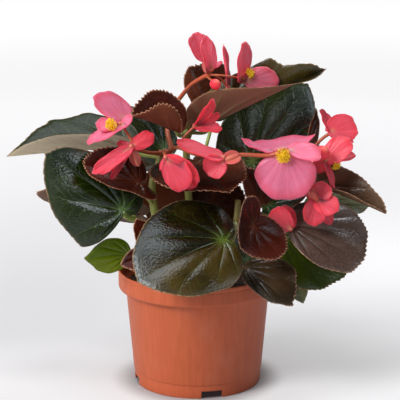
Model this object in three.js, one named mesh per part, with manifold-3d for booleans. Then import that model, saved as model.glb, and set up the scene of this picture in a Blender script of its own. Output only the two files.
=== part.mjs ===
import * as THREE from 'three';
import { mergeVertices } from 'three/addons/utils/BufferGeometryUtils.js';
import Module from 'manifold-3d';

// A flowering begonia in a plastic nursery pot. The origin is the middle of the pot's foot on the
// surface that it stands on. +Z is up, -Y is the front and +X is the viewer's right.

// Pot, a 13 cm injection-moulded nursery pot
const POT_HEIGHT = 95;
const RIM_RADIUS = 65;
const RIM_HEIGHT = 15;
const RIM_OVERHANG = 6;
const RIM_LIP = 1.8;
const RIM_EDGE = 0.6;
const RIM_EDGE_HEIGHT = 2;
const LEDGE_RISE = 3;
const LEDGE_SLOPE = [1, 1.5];
const FOOT_RADIUS = 52;
const FOOT_BAND = 11;
const BAND_STEP = 0.4;
const WALL = 1.4;
const FLOOR_RAISE = 7;
const NOTCH_WIDTH = 17;
const NOTCH_HEIGHT = 6;
const NOTCH_DEPTH = 12;
const NOTCH_TURNS = [13, 103, 193, 283];
const POT_SIDES = 34;

// Soil, and the clearance between neighbouring pieces
const SOIL_TOP = 85;
const SOIL_MOUND = 2;
const SOIL_SHOULDER = 12;
const SOIL_DRAFT = 0.2;
const GAP = 0.3;
const HOLE_ROOM = 1.1;

// Leaf blades and flower tepals
const BLADE = 0.8;
const LEAF_SECTORS = 18;
const SMALL_LEAF_SECTORS = 12;
const SMALL_LEAF_SPAN = 45;
const RINGS = [0.55, 1];
const SMALL_RINGS = [1];
const TOOTH = 0.012;
const NORMAL_STEP = 0.05;
const TEPAL_SECTORS = 8;
const SMALL_TEPAL_SECTORS = 8;
const SMALL_TEPAL_LENGTH = 17;
const LEAF_DEFAULTS = { back: [0.25, 0.25], belly: 0.35, fold: [10, 10], point: 0.12, sinus: 0.75 };
const TEPAL_DEFAULTS = { back: [0.05, 0.05], fold: [5, 5], point: 0, sinus: 0.3 };

// Stems, leaf stalks and flower stalks
const STEM_SIDES = 6;
const STALK_SIDES = 5;
const STALK_STEPS = 3;
const LEAF_STALK_RADIUS = 1.7;
const STALK_DROP = 1.6;
const STALK_SEAT = 0.5;
const RECEPTACLE_RADIUS = 2.2;
const RECEPTACLE_SIDES = 6;
const OVARY_SHARE = 0.6;
const NECK_RADIUS = 1.1;

// Colours
const TERRACOTTA = 0xb35a3c;
const SOIL_BROWN = 0x2b2019;
const DARK_GREEN = 0x1d2a1a;
const BRONZE = 0x4a2c22;
const FRESH_GREEN = 0x35582a;
const STEM_GREEN = 0x6d7a3a;
const STALK_ORANGE = 0xb4552f;
const CORAL = 0xe0546a;
const PINK = 0xdf7692;
const STAMEN_YELLOW = 0xe8b81e;

// Each leaf runs from its stalk (base) to its tip. roll turns the blade about that line, with 0 facing
// up. half gives the half widths left and right of the midrib, back the two basal lobes as shares of
// the length, belly the widest place. fold lifts each half, cup curls it on, and arc droops the tip.
const LEAVES = {
  leaf_front_low: { base: [21, -64, 135], tip: [-46, -96, 110], roll: 30, half: [43, 53],
    back: [0.15, 0.35], belly: 0.3, fold: [-5, 10], cup: [-25, -5], arc: 30 },
  leaf_left_big: { base: [-58, -38, 152], tip: [-118, -53, 202], roll: 55, half: [49, 30],
    back: [0.05, 0.25], belly: 0.2, fold: [-10, 10], cup: [-20, 10], arc: 20, stalk: 2.8 },
  leaf_left_long: { base: [-54, -8, 196], tip: [-152, -5, 189], roll: 10, half: [35, 38],
    back: [0.1, 0.15], belly: 0.4, fold: [50, 35], cup: [-10, 0], arc: 5,
    lobes: [[-0.34, 0.03, 0.06], [-0.52, 0.05, 0.08]] },
  leaf_left_mid: { base: [-46, -38, 174], tip: [-88, -54, 192], roll: 30, half: [22, 24],
    back: [0.45, 0.2], belly: 0.3, fold: [0, 20], cup: [20, 35], arc: 5, point: 0 },
  leaf_upper_round: { base: [-15, -34, 215], tip: [-51, -39, 230], roll: 40, half: [42, 26],
    back: [0.05, 0.2], belly: 0.5, fold: [30, 25], cup: [85, 25], point: 0 },
  leaf_behind_upper: { base: [-27, 26, 186], tip: [-57, 18, 224], roll: 60, half: [24, 24],
    fold: [5, 5] },
  leaf_top_right: { base: [8, -14, 215], tip: [101, -10, 260], roll: -15, half: [34, 33],
    back: [0.3, 0.2], belly: 0.15, fold: [22, 85], cup: [-5, 5], twist: 80,
    lobes: [[0.3, 0.035, 0.1], [0.2, 0.04, -0.05], [0.1, 0.05, 0.05]] },
  leaf_right_back_big: { base: [43, 14, 179], tip: [91, 37, 241], roll: -65, half: [43, 41],
    back: [0.35, 0.25], belly: 0.3, fold: [5, -5], cup: [-10, -10], arc: 10 },
  leaf_right_long: { base: [94, -10, 166], tip: [149, -38, 150], roll: -25, half: [24, 26],
    belly: 0.25, fold: [50, 50], cup: [5, 0], arc: 5 },
  leaf_right_bronze: { base: [73, -38, 140], tip: [135, -30, 128], roll: -45, half: [29, 39],
    back: [0.15, 0.05], belly: 0.6, fold: [5, 10], cup: [-25, -10], arc: 15, point: 0 },
  leaf_right_green: { base: [69, -20, 125], tip: [120, -12, 92], roll: -45, half: [26, 38],
    fold: [0, 0], cup: [-10, -10] },
  leaf_low_right: { base: [36, -54, 110], tip: [73, -75, 85], roll: -35, half: [33, 12],
    back: [0.05, 0.05], belly: 0.5, fold: [-5, 0], cup: [-10, -20], arc: 20 },
  leaf_low_right_small: { base: [73, -20, 102], tip: [85, -30, 73], roll: -40, half: [11, 10], arc: 20 },
  leaf_cupped: { base: [43, -60, 145], tip: [33, -76, 132], roll: 65, half: [33, 32],
    back: [0.9, 0.8], belly: 0, fold: [0, 30], cup: [35, 5], arc: -10, point: 0, sinus: 0.4 },
  leaf_centre_wide: { base: [-1, -14, 185], tip: [25, -63, 172], roll: -5, half: [35, 50],
    back: [0.35, 0.45], belly: 0.3, cup: [-5, -25], arc: 10 },
  leaf_low_left_green: { base: [-54, -36, 116], tip: [-88, -58, 119], roll: 85, half: [17, 17],
    back: [0.05, 0.05], belly: 0.45, fold: [-5, 5], cup: [-5, 0], arc: -5, point: 0.2, sinus: 0.2 },
  leaf_low_left_bronze: { base: [-37, -52, 122], tip: [-60, -56, 113], roll: 55, half: [14, 9],
    back: [0.15, 0.15] },
  leaf_left_far: { base: [-51, -8, 142], tip: [-130, 4, 155], roll: -45, half: [22, 29],
    belly: 0.4, point: 0 },
  leaf_right_sliver: { base: [88, 6, 190], tip: [96, 14, 224], roll: -50, half: [4, 8], fold: [50, 20] },
  leaf_right_under: { base: [94, 6, 146], tip: [141, -2, 147], roll: -30, half: [14, 18],
    fold: [10, 10] },
  leaf_inner_left: { base: [-38, -45, 125], tip: [-48, -46, 148], face: [0.2, -0.9, 0.2], half: [9, 10] },
  leaf_right_dark: { base: [56, -17, 151], tip: [92, -20, 168], roll: -40, half: [17, 16] },
  leaf_inner_right: { base: [50, -24, 156], tip: [38, -24, 184], roll: 60, half: [14, 15], fold: [20, 10] },
  leaf_inner_middle: { base: [-5, 22, 125], tip: [-5, 24, 180], face: [0, -1, 0.1], half: [45, 50],
    fold: [3, 3], lobes: [[0.32, 0.12, 0.2]] },
  leaf_inner_low: { base: [40, -28, 108], tip: [29, -32, 142], face: [0.1, -0.9, 0.3], half: [14, 14] },
  leaf_back_left_high: { base: [-36, 42, 170], tip: [-108, 76, 156], roll: -25, half: [34, 32],
    cup: [-10, -10], arc: 20 },
  leaf_back_right_high: { base: [44, 48, 178], tip: [106, 86, 176], roll: 20, half: [32, 34],
    cup: [-10, -10], arc: 20 },
  leaf_back_centre_high: { base: [12, 40, 213], tip: [-5, 40, 255], face: [0.1, -1, 0.1], half: [12, 28],
    belly: 0.65, fold: [5, 5], cup: [-10, -10], arc: 10, point: 0 },
  leaf_back_left_low: { base: [-36, 42, 129], tip: [-90, 80, 108], roll: -10, half: [32, 32],
    cup: [-10, -10], arc: 30 },
  leaf_back_right_low: { base: [38, 36, 130], tip: [96, 68, 106], roll: 10, half: [32, 32],
    cup: [-10, -10], arc: 30 },
  leaf_back_centre_low: { base: [10, 46, 126], tip: [18, 104, 102], roll: 0, half: [32, 32],
    cup: [-10, -10], arc: 35 },
};

const GREEN_LEAVES = ['leaf_low_left_green', 'leaf_low_right_small'];
const DARK_LEAVES = [
  'leaf_front_low', 'leaf_left_big', 'leaf_left_long', 'leaf_top_right', 'leaf_right_back_big',
  'leaf_right_green', 'leaf_right_dark', 'leaf_behind_upper', 'leaf_back_left_high',
  'leaf_back_right_high', 'leaf_back_left_low', 'leaf_back_right_low', 'leaf_back_centre_low',
  'leaf_inner_low',
];

// Each stem rises from the soil along its path. leaves says how far along the stem each leaf stalk
// grows out, as a share of its points.
const STEMS = {
  stem_left: {
    radius: 3.1,
    path: [
      [-20, -8, 72], [-20, -8, 87], [-28, -18, 115], [-34, -28, 150],
      [-36, -14, 170], [-31, -8, 184], [-27, -18, 195],
    ],
    leaves: {
      leaf_left_big: 0.4, leaf_left_far: 0.34, leaf_left_mid: 0.5, leaf_low_left_green: 0.25,
      leaf_low_left_bronze: 0.28, leaf_inner_left: 0.37, leaf_left_long: 0.86,
    },
  },
  stem_centre: {
    radius: 3.3,
    path: [[0, 6, 72], [0, 6, 87], [-4, 12, 120], [-8, 16, 160], [-9, 12, 190], [-8, 0, 208]],
    leaves: {
      leaf_upper_round: 0.98, leaf_top_right: 0.96, leaf_centre_wide: 0.68, leaf_behind_upper: 0.64,
      leaf_inner_middle: 0.3,
    },
  },
  stem_right: {
    radius: 3.1,
    path: [[20, 4, 72], [20, 4, 87], [28, 2, 115], [38, 2, 145], [46, 0, 156], [53, -5, 165]],
    leaves: {
      leaf_right_back_big: 0.96, leaf_right_long: 0.92, leaf_right_under: 0.84,
      leaf_right_bronze: 0.68, leaf_right_green: 0.56, leaf_right_sliver: 0.92, leaf_right_dark: 0.76,
    },
    stalks: [{ radius: 1.2, path: [[34, 2, 134], [52, -26, 136], [73, -45, 139]] }],
  },
  stem_front: {
    radius: 2.6,
    path: [[12, -22, 72], [12, -22, 89], [18, -34, 105], [26, -40, 125], [30, -38, 140],
      [32, -36, 160]],
    leaves: {
      leaf_front_low: 0.62, leaf_cupped: 0.75, leaf_low_right: 0.41, leaf_low_right_small: 0.29,
      leaf_inner_right: 0.84, leaf_inner_low: 0.35,
    },
  },
  stem_back: {
    radius: 3.1,
    path: [[2, 28, 72], [2, 28, 87], [2, 32, 115], [2, 30, 150], [3, 26, 172]],
    leaves: {
      leaf_back_left_high: 0.93, leaf_back_right_high: 0.96, leaf_back_centre_high: 0.98,
      leaf_back_left_low: 0.51, leaf_back_right_low: 0.55, leaf_back_centre_low: 0.47,
    },
  },
};

// Flower stalks, each spray fused at its forks.
const SPRAYS = {
  stalks_top: [
    {
      radius: 1.9,
      path: [[-20, -18, 196], [-24, -8, 210], [-22, 14, 222],
        [-13, 12, 235], [-4, -2, 247], [5, -11, 254], [10, -15, 257]],
    },
    { radius: 1.5, path: [[8, -14, 256], [11, -16, 261]] },
    { radius: 0.85, path: [[8, -14, 256], [15, -20, 257], [25, -20, 256], [35, -13, 253]] },
    { radius: 1, path: [[7, -13, 255], [14, -28, 252]] },
    { radius: 0.85, path: [[10, -15, 257], [18, -13, 253], [24, -10, 245]] },
  ],
  stalks_middle: [
    { radius: 2.7, path: [[-30, -18, 194], [-23, -18, 195]] },
    { radius: 1.7, path: [[-30, -18, 194], [-39, -34, 198], [-47, -48, 204], [-51, -50, 206]] },
    {
      radius: 1.7,
      path: [[-23, -18, 195], [-15, -34, 202], [-4, -46, 200], [8, -50, 198],
        [22, -52, 199], [34, -52, 200], [51, -50, 199], [64, -52, 201]],
    },
    { radius: 1.4, path: [[-27, -20, 195], [-26, -42, 200], [-24, -65, 201]] },
    { radius: 1, path: [[-15, -34, 202], [-11, -36, 210], [-2, -34, 219]] },
    { radius: 1.25, path: [[-47, -48, 204], [-52, -46, 212], [-59, -42, 222]] },
  ],
  stalks_right: [
    { radius: 1.95, path: [[54, -6, 165], [73, -4, 182], [91, -14, 196]] },
    { radius: 1.45, path: [[91, -14, 196], [99, -14, 205], [106, -14, 210]] },
    { radius: 1.35, path: [[91, -14, 196], [95, -26, 194], [100, -36, 192]] },
    { radius: 1.15, path: [[91, -14, 196], [91, -30, 202], [97, -43, 200]] },
    { radius: 1.35, path: [[91, -14, 196], [88, -30, 178], [93, -46, 163]] },
  ],
};

const BUDS = {
  bud_top: { at: [14, -29, 251], radius: 4.6 },
  bud_right: { at: [97, -44, 200], radius: 5.9 },
};

// Blooms. Each tepal runs from its base, or else from the bloom's centre, to its tip, and shows its
// inner side towards face.
const BLOOMS = {
  bloom_top_left: {
    centre: [11, -16, 261],
    ovary: { from: [8, -16, 257], to: [6, -17, 269], radius: 4 },
    tepals: [
      { base: [6, -16, 268], tip: [-4, -20, 289], face: [0.3, -0.9, 0.3], half: [8, 9],
        belly: 0.65, cup: [20, 20] },
      { tip: [5, -26, 288], face: [0.6, -0.8, 0.1], half: [7, 7],
        belly: 0.5, fold: [0, 20], cup: [20, 10] },
      { tip: [19, -8, 266], face: [0.5, 0.5, 0.6], half: [4, 4], belly: 0.5 },
    ],
  },
  bloom_top_thin: {
    centre: [24, -10, 245],
    tepals: [
      { tip: [20, -12, 280], face: [1.0, -0.2, 0.0], half: [8, 8], belly: 0.5, cup: [15, 15] },
      { tip: [21, -7, 276], face: [1.0, -0.2, 0.0], half: [6, 6], belly: 0.5, cup: [15, 15] },
    ],
  },
  bloom_top_right: {
    centre: [36, -13, 253],
    stamens: { at: [41, -14, 257], radius: 4 },
    tepals: [
      { base: [34, -14, 251], tip: [37, -15, 282], face: [0.8, -0.6, 0.1], half: [10, 9],
        belly: 0.6, cup: [15, 20] },
      { base: [38, -13, 251], tip: [64, -14, 247], face: [-0.3, -0.9, 0], half: [14, 7], belly: 0.5 },
      { tip: [41, -7, 261], face: [-0.1, -0.8, 0.6], half: [4, 4], belly: 0.5 },
    ],
  },
  bloom_upper_middle: {
    centre: [-2, -34, 219],
    tepals: [
      { tip: [12, -40, 241], face: [0.8, -0.7, 0.2], half: [5, 6],
        belly: 0.6, fold: [10, 20], cup: [20, 40] },
      { tip: [17, -34, 229], face: [0.4, -0.9, 0.0], half: [3, 5], belly: 0.6 },
      { tip: [19, -38, 217], face: [0.0, -0.6, 0.8], half: [6, 8],
        belly: 0.55, fold: [0, 10], cup: [20, 30] },
    ],
  },
  bloom_centre: {
    centre: [20, -58, 199],
    ovary: { from: [33, -54, 200], to: [19, -59, 196], radius: 5.5 },
    tepals: [
      { tip: [-16, -57, 212], face: [0.1, -0.6, 0.8], half: [9, 9],
        belly: 0.45, fold: [5, -5], cup: [15, -25] },
      { base: [20, -60, 197], tip: [7, -62, 188], face: [-0.2, -0.9, 0.1], half: [10, 11],
        belly: 0.55, cup: [30, 30] },
      { base: [20, -58, 196], tip: [7, -52, 185], face: [-0.2, 0.9, 0.1], half: [10, 10],
        belly: 0.55, cup: [30, 30] },
    ],
  },
  bloom_heart: {
    centre: [-24, -66, 201],
    tepals: [
      { tip: [-11, -72, 176], face: [-0.1, -0.9, -0.1], half: [14, 9],
        belly: 0.55, fold: [-20, -15], cup: [55, 40] },
      { tip: [-1, -67, 178], face: [0.5, 0.8, 0.2], half: [12, 12],
        belly: 0.55, fold: [-10, -10], cup: [30, 45] },
      { tip: [-29, -60, 190], face: [-0.8, -0.4, 0.2], half: [3, 3], belly: 0.5 },
    ],
  },
  bloom_left_open: {
    centre: [-60, -42, 222],
    stamens: { at: [-66, -49, 223], radius: 4.8 },
    tepals: [
      { base: [-55, -38, 224], tip: [-80, -40, 243], face: [-0.1, -0.8, 0.6], half: [8, 13],
        belly: 0.45, cup: [10, 0], back: [0.15, 0.15] },
      { base: [-54, -44, 223], tip: [-84, -54, 209], face: [-0.3, -0.3, 0.9], half: [8, 11],
        belly: 0.5, cup: [5, 10] },
      { base: [-63, -44, 223], tip: [-78, -48, 222], face: [-0.3, -0.8, 0.5], half: [6, 6], belly: 0.55 },
      { base: [-58, -43, 222], tip: [-50, -48, 229], face: [0.2, -0.7, 0.6], half: [4, 4], belly: 0.55 },
    ],
  },
  bloom_left_lower: {
    centre: [-51, -50, 206],
    ovary: { from: [-51, -50, 205], to: [-45, -54, 191], radius: 4 },
    tepals: [
      { tip: [-79, -70, 189], face: [-0.2, -0.7, 0.6], half: [8, 6.5], belly: 0.6, cup: [10, 20] },
      { tip: [-34, -46, 215], face: [-0.1, 0.8, -0.6], half: [7, 7], belly: 0.6, cup: [10, 10] },
      { tip: [-66, -63, 183], face: [0.0, -0.8, 0.4], half: [2.5, 3], belly: 0.7 },
      { tip: [-62, -46, 208], face: [0.0, -0.8, 0.4], half: [3, 3], belly: 0.6 },
    ],
  },
  bloom_right_big: {
    centre: [65, -52, 201],
    stamens: { at: [66, -55, 200], radius: 5.85 },
    tepals: [
      { base: [68, -50, 202], tip: [69, -56, 165], face: [-0.1, -1.0, 0.2], half: [23.3, 23.8],
        belly: 0.45, fold: [3, 3], cup: [-10, -10], arc: 8, back: [0, 0] },
      { base: [65, -49, 204], tip: [66, -16, 207], face: [-0.15, -0.4, 0.9], half: [26, 24],
        belly: 0.55, fold: [-6, -4], cup: [20, 14], arc: -10, lobes: [[-0.5, 0.1, 0.15]] },
      { base: [59, -50, 202], tip: [34, -42, 211], face: [0.3, -0.2, 0.9], half: [5, 6],
        belly: 0.5, arc: -35 },
      { base: [70, -52, 204], tip: [94, -62, 199], face: [0.0, -0.8, 0.6], half: [10, 5],
        belly: 0.55, cup: [10, 0] },
    ],
  },
  bloom_right_upper: {
    centre: [106, -14, 210],
    tepals: [
      { base: [105, -16, 211], tip: [127, -14, 211], face: [-0.1, -0.8, 0.5], half: [14.5, 9],
        belly: 0.5, cup: [10, 10], back: [0.2, 0.1] },
      { tip: [123, -20, 203], face: [0.1, -0.6, 0.8], half: [6, 5], belly: 0.5, cup: [-10, 10] },
      { tip: [99, -4, 227], face: [0.8, -0.6, 0.2], half: [7, 7], belly: 0.55, cup: [10, 10] },
    ],
  },
  bloom_right_middle: {
    centre: [100, -36, 192],
    stamens: { at: [108, -38, 189], radius: 3.6 },
    tepals: [
      { tip: [120, -36, 207], face: [0.1, -0.8, 0.6], half: [11, 9],
        belly: 0.5, cup: [-15, 10], arc: 10 },
      { tip: [125, -22, 194], face: [0.1, -0.6, 0.8], half: [6, 5], belly: 0.5 },
      { tip: [107, -41, 171], face: [0.6, -0.8, 0.1], half: [3.5, 3.5], belly: 0.4 },
      { tip: [92, -28, 182], face: [0.1, -0.9, 0.2], half: [6, 6], belly: 0.6 },
    ],
  },
  bloom_right_low: {
    centre: [93, -46, 163],
    ovary: { from: [88, -50, 172], to: [93, -47, 163], radius: 4.2 },
    tepals: [
      { tip: [100, -44, 176], face: [0.0, -0.9, 0.3], half: [8, 9],
        belly: 0.5, cup: [10, 20], back: [0.1, 0.1] },
      { tip: [109, -54, 156], face: [-0.1, -0.8, 0.7], half: [9, 9],
        belly: 0.5, cup: [15, 0], back: [0.1, 0.1] },
      { tip: [90, -50, 143], face: [0.1, -0.9, 0.1], half: [9, 10],
        belly: 0.5, cup: [20, 20], back: [0.1, 0.1] },
      { tip: [105, -42, 142], face: [0.1, -0.9, 0.1], half: [6, 5], belly: 0.5 },
      { tip: [85, -42, 170], face: [0.1, -0.9, 0.1], half: [4, 5], belly: 0.5 },
    ],
  },
  bloom_right_bud: {
    centre: [73, -45, 139],
    tepals: [
      { tip: [60, -43, 155], face: [0.0, -0.9, 0.4], half: [12, 8],
        belly: 0.55, cup: [15, 35] },
      { tip: [65, -37, 155], face: [-0.1, 0.9, 0.3], half: [9, 9], belly: 0.55, cup: [25, 30] },
    ],
  },
};
const PALE_BLOOMS = ['bloom_right_big', 'bloom_left_open'];

const wasm = await Module();
wasm.setup();

const vector = (values) => new THREE.Vector3(...values);
const radians = THREE.MathUtils.degToRad;

// Closed solids

function solidFrom(geometry) {
  const bare = geometry.index ? geometry.clone() : geometry;
  bare.deleteAttribute('normal');
  bare.deleteAttribute('uv');
  const merged = mergeVertices(bare, 1e-4);
  const corners = merged.index.array;
  const triangles = [];
  for (let i = 0; i < corners.length; i += 3) {
    const [a, b, c] = corners.slice(i, i + 3);
    if (a !== b && b !== c && c !== a) triangles.push(a, b, c);
  }
  const build = () => new wasm.Manifold(new wasm.Mesh({
    numProp: 3,
    vertProperties: new Float32Array(merged.attributes.position.array),
    triVerts: new Uint32Array(triangles),
  }));
  const solid = build();
  if (solid.volume() > 0) return solid;
  triangles.reverse();
  return build();
}

function join(solids) {
  return solids.reduce((whole, solid) => whole.add(solid));
}

// The largest body that is left of a piece when its neighbours, grown by the gap, are cut away.
function clearOf(solid, neighbours) {
  const left = neighbours.reduce((rest, neighbour) => rest.subtract(neighbour), solid);
  const bodies = left.decompose();
  return bodies.reduce((largest, body) => (body.volume() > largest.volume() ? body : largest));
}

function tube(curve, radius, sides, steps) {
  const outline = [];
  for (let i = 0; i < sides; i += 1) {
    const turn = (i / sides) * Math.PI * 2;
    outline.push(new THREE.Vector2(radius * Math.cos(turn), radius * Math.sin(turn)));
  }
  const section = new THREE.Shape(outline);
  const settings = { steps, extrudePath: curve, bevelEnabled: false };
  return solidFrom(new THREE.ExtrudeGeometry(section, settings));
}

function ball(centre, radius, sides = 8) {
  const sphere = new THREE.SphereGeometry(radius, sides, sides - 2);
  sphere.rotateX(Math.PI / 2);
  sphere.translate(...centre);
  return solidFrom(sphere);
}

function revolve(profile, sides) {
  const points = profile.map(([radius, height]) => new THREE.Vector2(radius, height));
  return solidFrom(new THREE.LatheGeometry(points, sides).rotateX(Math.PI / 2));
}

// Blades

// Margin of a flat blade whose stalk meets it at 0, 0. The angle is 0 at the tip and PI at the
// notch between the basal lobes, and positive on the left half.
function marginPoint(blade, angle) {
  const side = angle >= 0 ? 0 : 1;
  const widest = blade.belly * blade.length;
  const reach = Math.cos(angle) >= 0
    ? blade.length - widest
    : widest + blade.back[side] * blade.length;
  const share = Math.abs(angle) / Math.PI;
  const point = (1 + blade.point * Math.exp(-9 * share)) / (1 + blade.point);
  const notch = 1 - blade.sinus * THREE.MathUtils.clamp((share - 0.72) / 0.28, 0, 1) ** 2;
  let lobe = 1;
  for (const [at, width, size] of blade.lobes) {
    lobe += size * Math.exp(-(((angle / Math.PI - at) / width) ** 2));
  }
  const x = widest + reach * Math.cos(angle);
  const y = blade.half[side] * Math.sin(angle);
  return [x * point * notch * lobe, y * point * notch * lobe];
}

const sineRatio = (angle) => (Math.abs(angle) < 1e-6 ? 1 : Math.sin(angle) / angle);

// Flat point to blade point: the midrib droops along an arc, and each half lifts by its fold and
// curls by its cup.
function bendPoint(blade, x, y) {
  const side = y >= 0 ? 0 : 1;
  const droop = radians(blade.arc) * (x / blade.length);
  const chord = radians(blade.arc) / 2 - droop / 2;
  const slope = radians(blade.arc) / 2 - droop;
  const along = x * sineRatio(droop / 2);
  const curl = radians(blade.cup[side]) * (Math.abs(y) / blade.half[side]);
  const rise = radians(blade.fold[side]) + curl / 2;
  const across = Math.abs(y) * sineRatio(curl / 2);
  const flatSide = Math.sign(y) * across * Math.cos(rise);
  const flatLift = across * Math.sin(rise);
  const twist = radians(blade.twist) * (x / blade.length);
  const sideways = flatSide * Math.cos(twist) - flatLift * Math.sin(twist);
  const lift = flatSide * Math.sin(twist) + flatLift * Math.cos(twist);
  return new THREE.Vector3(
    along * Math.cos(chord) - lift * Math.sin(slope),
    sideways,
    along * Math.sin(chord) + lift * Math.cos(slope),
  );
}

// Axes of a blade: forward to its tip, up out of its upper side, and left.
function bladeAxes(blade) {
  const forward = vector(blade.tip).sub(vector(blade.base)).normalize();
  let up = vector(blade.face ?? [0, 0, 1]);
  up.addScaledVector(forward, -up.dot(forward)).normalize();
  if (!blade.face) {
    const level = up.clone().cross(forward);
    up.multiplyScalar(Math.cos(radians(blade.roll)));
    up.addScaledVector(level, Math.sin(radians(blade.roll)));
  }
  return { forward, up, left: up.clone().cross(forward) };
}

function bladeFrom(defaults, values) {
  const blade = { cup: [0, 0], arc: 0, twist: 0, lobes: [], ...defaults, ...values };
  const span = vector(blade.tip).distanceTo(vector(blade.base));
  blade.length = span / sineRatio(radians(blade.arc) / 2);
  return blade;
}

// A thin closed blade. Both faces have the same triangles, so that the blade keeps its thickness.
function bladeSolid(blade, { sectors, rings, grow, tooth = 0 }) {
  const { forward, up, left } = bladeAxes(blade);
  const thickness = BLADE + 2 * grow;
  const spread = 1 + 2 * grow / Math.min(...blade.half);
  const flat = [[0, 0]];
  for (const ring of rings) {
    for (let i = 0; i < sectors; i += 1) {
      const angle = (i / sectors) * Math.PI * 2;
      const [x, y] = marginPoint(blade, angle > Math.PI ? angle - Math.PI * 2 : angle);
      const reach = ring === 1 ? (1 + tooth * (i % 2 ? -1 : 1)) * spread : ring;
      flat.push([x * reach, y * reach]);
    }
  }
  const place = (local) => vector(blade.base)
    .addScaledVector(forward, local.x)
    .addScaledVector(left, local.y)
    .addScaledVector(up, local.z);
  const positions = [];
  for (const half of [thickness / 2, -thickness / 2]) {
    for (const [x, y] of flat) {
      const ahead = bendPoint(blade, x + NORMAL_STEP, y).sub(bendPoint(blade, x - NORMAL_STEP, y));
      const aside = bendPoint(blade, x, y + NORMAL_STEP).sub(bendPoint(blade, x, y - NORMAL_STEP));
      const normal = ahead.cross(aside).normalize();
      positions.push(...place(bendPoint(blade, x, y).addScaledVector(normal, half)).toArray());
    }
  }
  const face = [];
  for (let i = 0; i < sectors; i += 1) {
    const next = (i + 1) % sectors;
    face.push([0, 1 + i, 1 + next]);
    for (let ring = 1; ring < rings.length; ring += 1) {
      const inner = 1 + (ring - 1) * sectors;
      const outer = 1 + ring * sectors;
      face.push([inner + i, outer + i, outer + next], [inner + i, outer + next, inner + next]);
    }
  }
  const under = flat.length;
  const triangles = [];
  for (const [a, b, c] of face) triangles.push(a, b, c, a + under, c + under, b + under);
  const rim = under - sectors;
  for (let i = 0; i < sectors; i += 1) {
    const a = rim + i;
    const b = rim + ((i + 1) % sectors);
    triangles.push(a, a + under, b + under, a, b + under, b);
  }
  const geometry = new THREE.BufferGeometry();
  geometry.setAttribute('position', new THREE.Float32BufferAttribute(positions, 3));
  geometry.setIndex(triangles);
  return solidFrom(geometry);
}

function leafSolid(values, grow = 0) {
  const leaf = bladeFrom(LEAF_DEFAULTS, values);
  const span = Math.max(leaf.length, leaf.half[0] + leaf.half[1]);
  const sectors = span < SMALL_LEAF_SPAN ? SMALL_LEAF_SECTORS : LEAF_SECTORS;
  return bladeSolid(leaf, { sectors, rings: RINGS, grow, tooth: TOOTH });
}

// Blooms

function bloomSolid(bloom, grow = 0) {
  const parts = [ball(bloom.centre, RECEPTACLE_RADIUS + grow, RECEPTACLE_SIDES)];
  for (const values of bloom.tepals) {
    const base = values.base ?? bloom.centre;
    const tepal = bladeFrom(TEPAL_DEFAULTS, { ...values, base });
    const small = tepal.length < SMALL_TEPAL_LENGTH;
    const sectors = small ? SMALL_TEPAL_SECTORS : TEPAL_SECTORS;
    parts.push(bladeSolid(tepal, { sectors, rings: small ? SMALL_RINGS : RINGS, grow }));
    if (values.base) {
      const neck = new THREE.LineCurve3(vector(bloom.centre), vector(base));
      parts.push(tube(neck, NECK_RADIUS + grow, STALK_SIDES, 1));
    }
  }
  if (bloom.ovary) {
    const ovary = new THREE.LineCurve3(vector(bloom.ovary.from), vector(bloom.ovary.to));
    parts.push(tube(ovary, bloom.ovary.radius * OVARY_SHARE + grow, STALK_SIDES, 1));
  }
  return join(parts);
}

// Stalks and stems

function stalkSolid(parts, grow = 0) {
  return join(parts.map(({ radius, path }) => {
    const curve = new THREE.CatmullRomCurve3(path.map(vector));
    return tube(curve, radius + grow, STALK_SIDES, path.length);
  }));
}

// A leaf stalk leaves the stem along it and reaches the blade from below and behind.
function leafStalkCurve(stem, share, leaf) {
  const start = stem.getPoint(share);
  const { forward, up } = bladeAxes(bladeFrom(LEAF_DEFAULTS, leaf));
  const end = vector(leaf.base).addScaledVector(up, -STALK_DROP).addScaledVector(forward, STALK_SEAT);
  const reach = end.distanceTo(start);
  const leave = start.clone()
    .addScaledVector(stem.getTangent(share), 0.28 * reach)
    .addScaledVector(end.clone().sub(start).normalize(), 0.1 * reach);
  const arrive = end.clone()
    .addScaledVector(forward, -0.25 * reach)
    .addScaledVector(up, -0.32 * reach);
  return new THREE.CubicBezierCurve3(start, leave, arrive, end);
}

function stemSolid(stem) {
  const curve = new THREE.CatmullRomCurve3(stem.path.map(vector));
  const parts = [tube(curve, stem.radius, STEM_SIDES, stem.path.length + 3)];
  for (const [leaf, share] of Object.entries(stem.leaves)) {
    const leafStalk = leafStalkCurve(curve, share, LEAVES[leaf]);
    const radius = LEAVES[leaf].stalk ?? LEAF_STALK_RADIUS;
    parts.push(tube(leafStalk, radius, STALK_SIDES, STALK_STEPS));
  }
  const stalks = stem.stalks ? [stalkSolid(stem.stalks)] : [];
  return join([...parts, ...stalks]);
}

// Pot and soil

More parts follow.
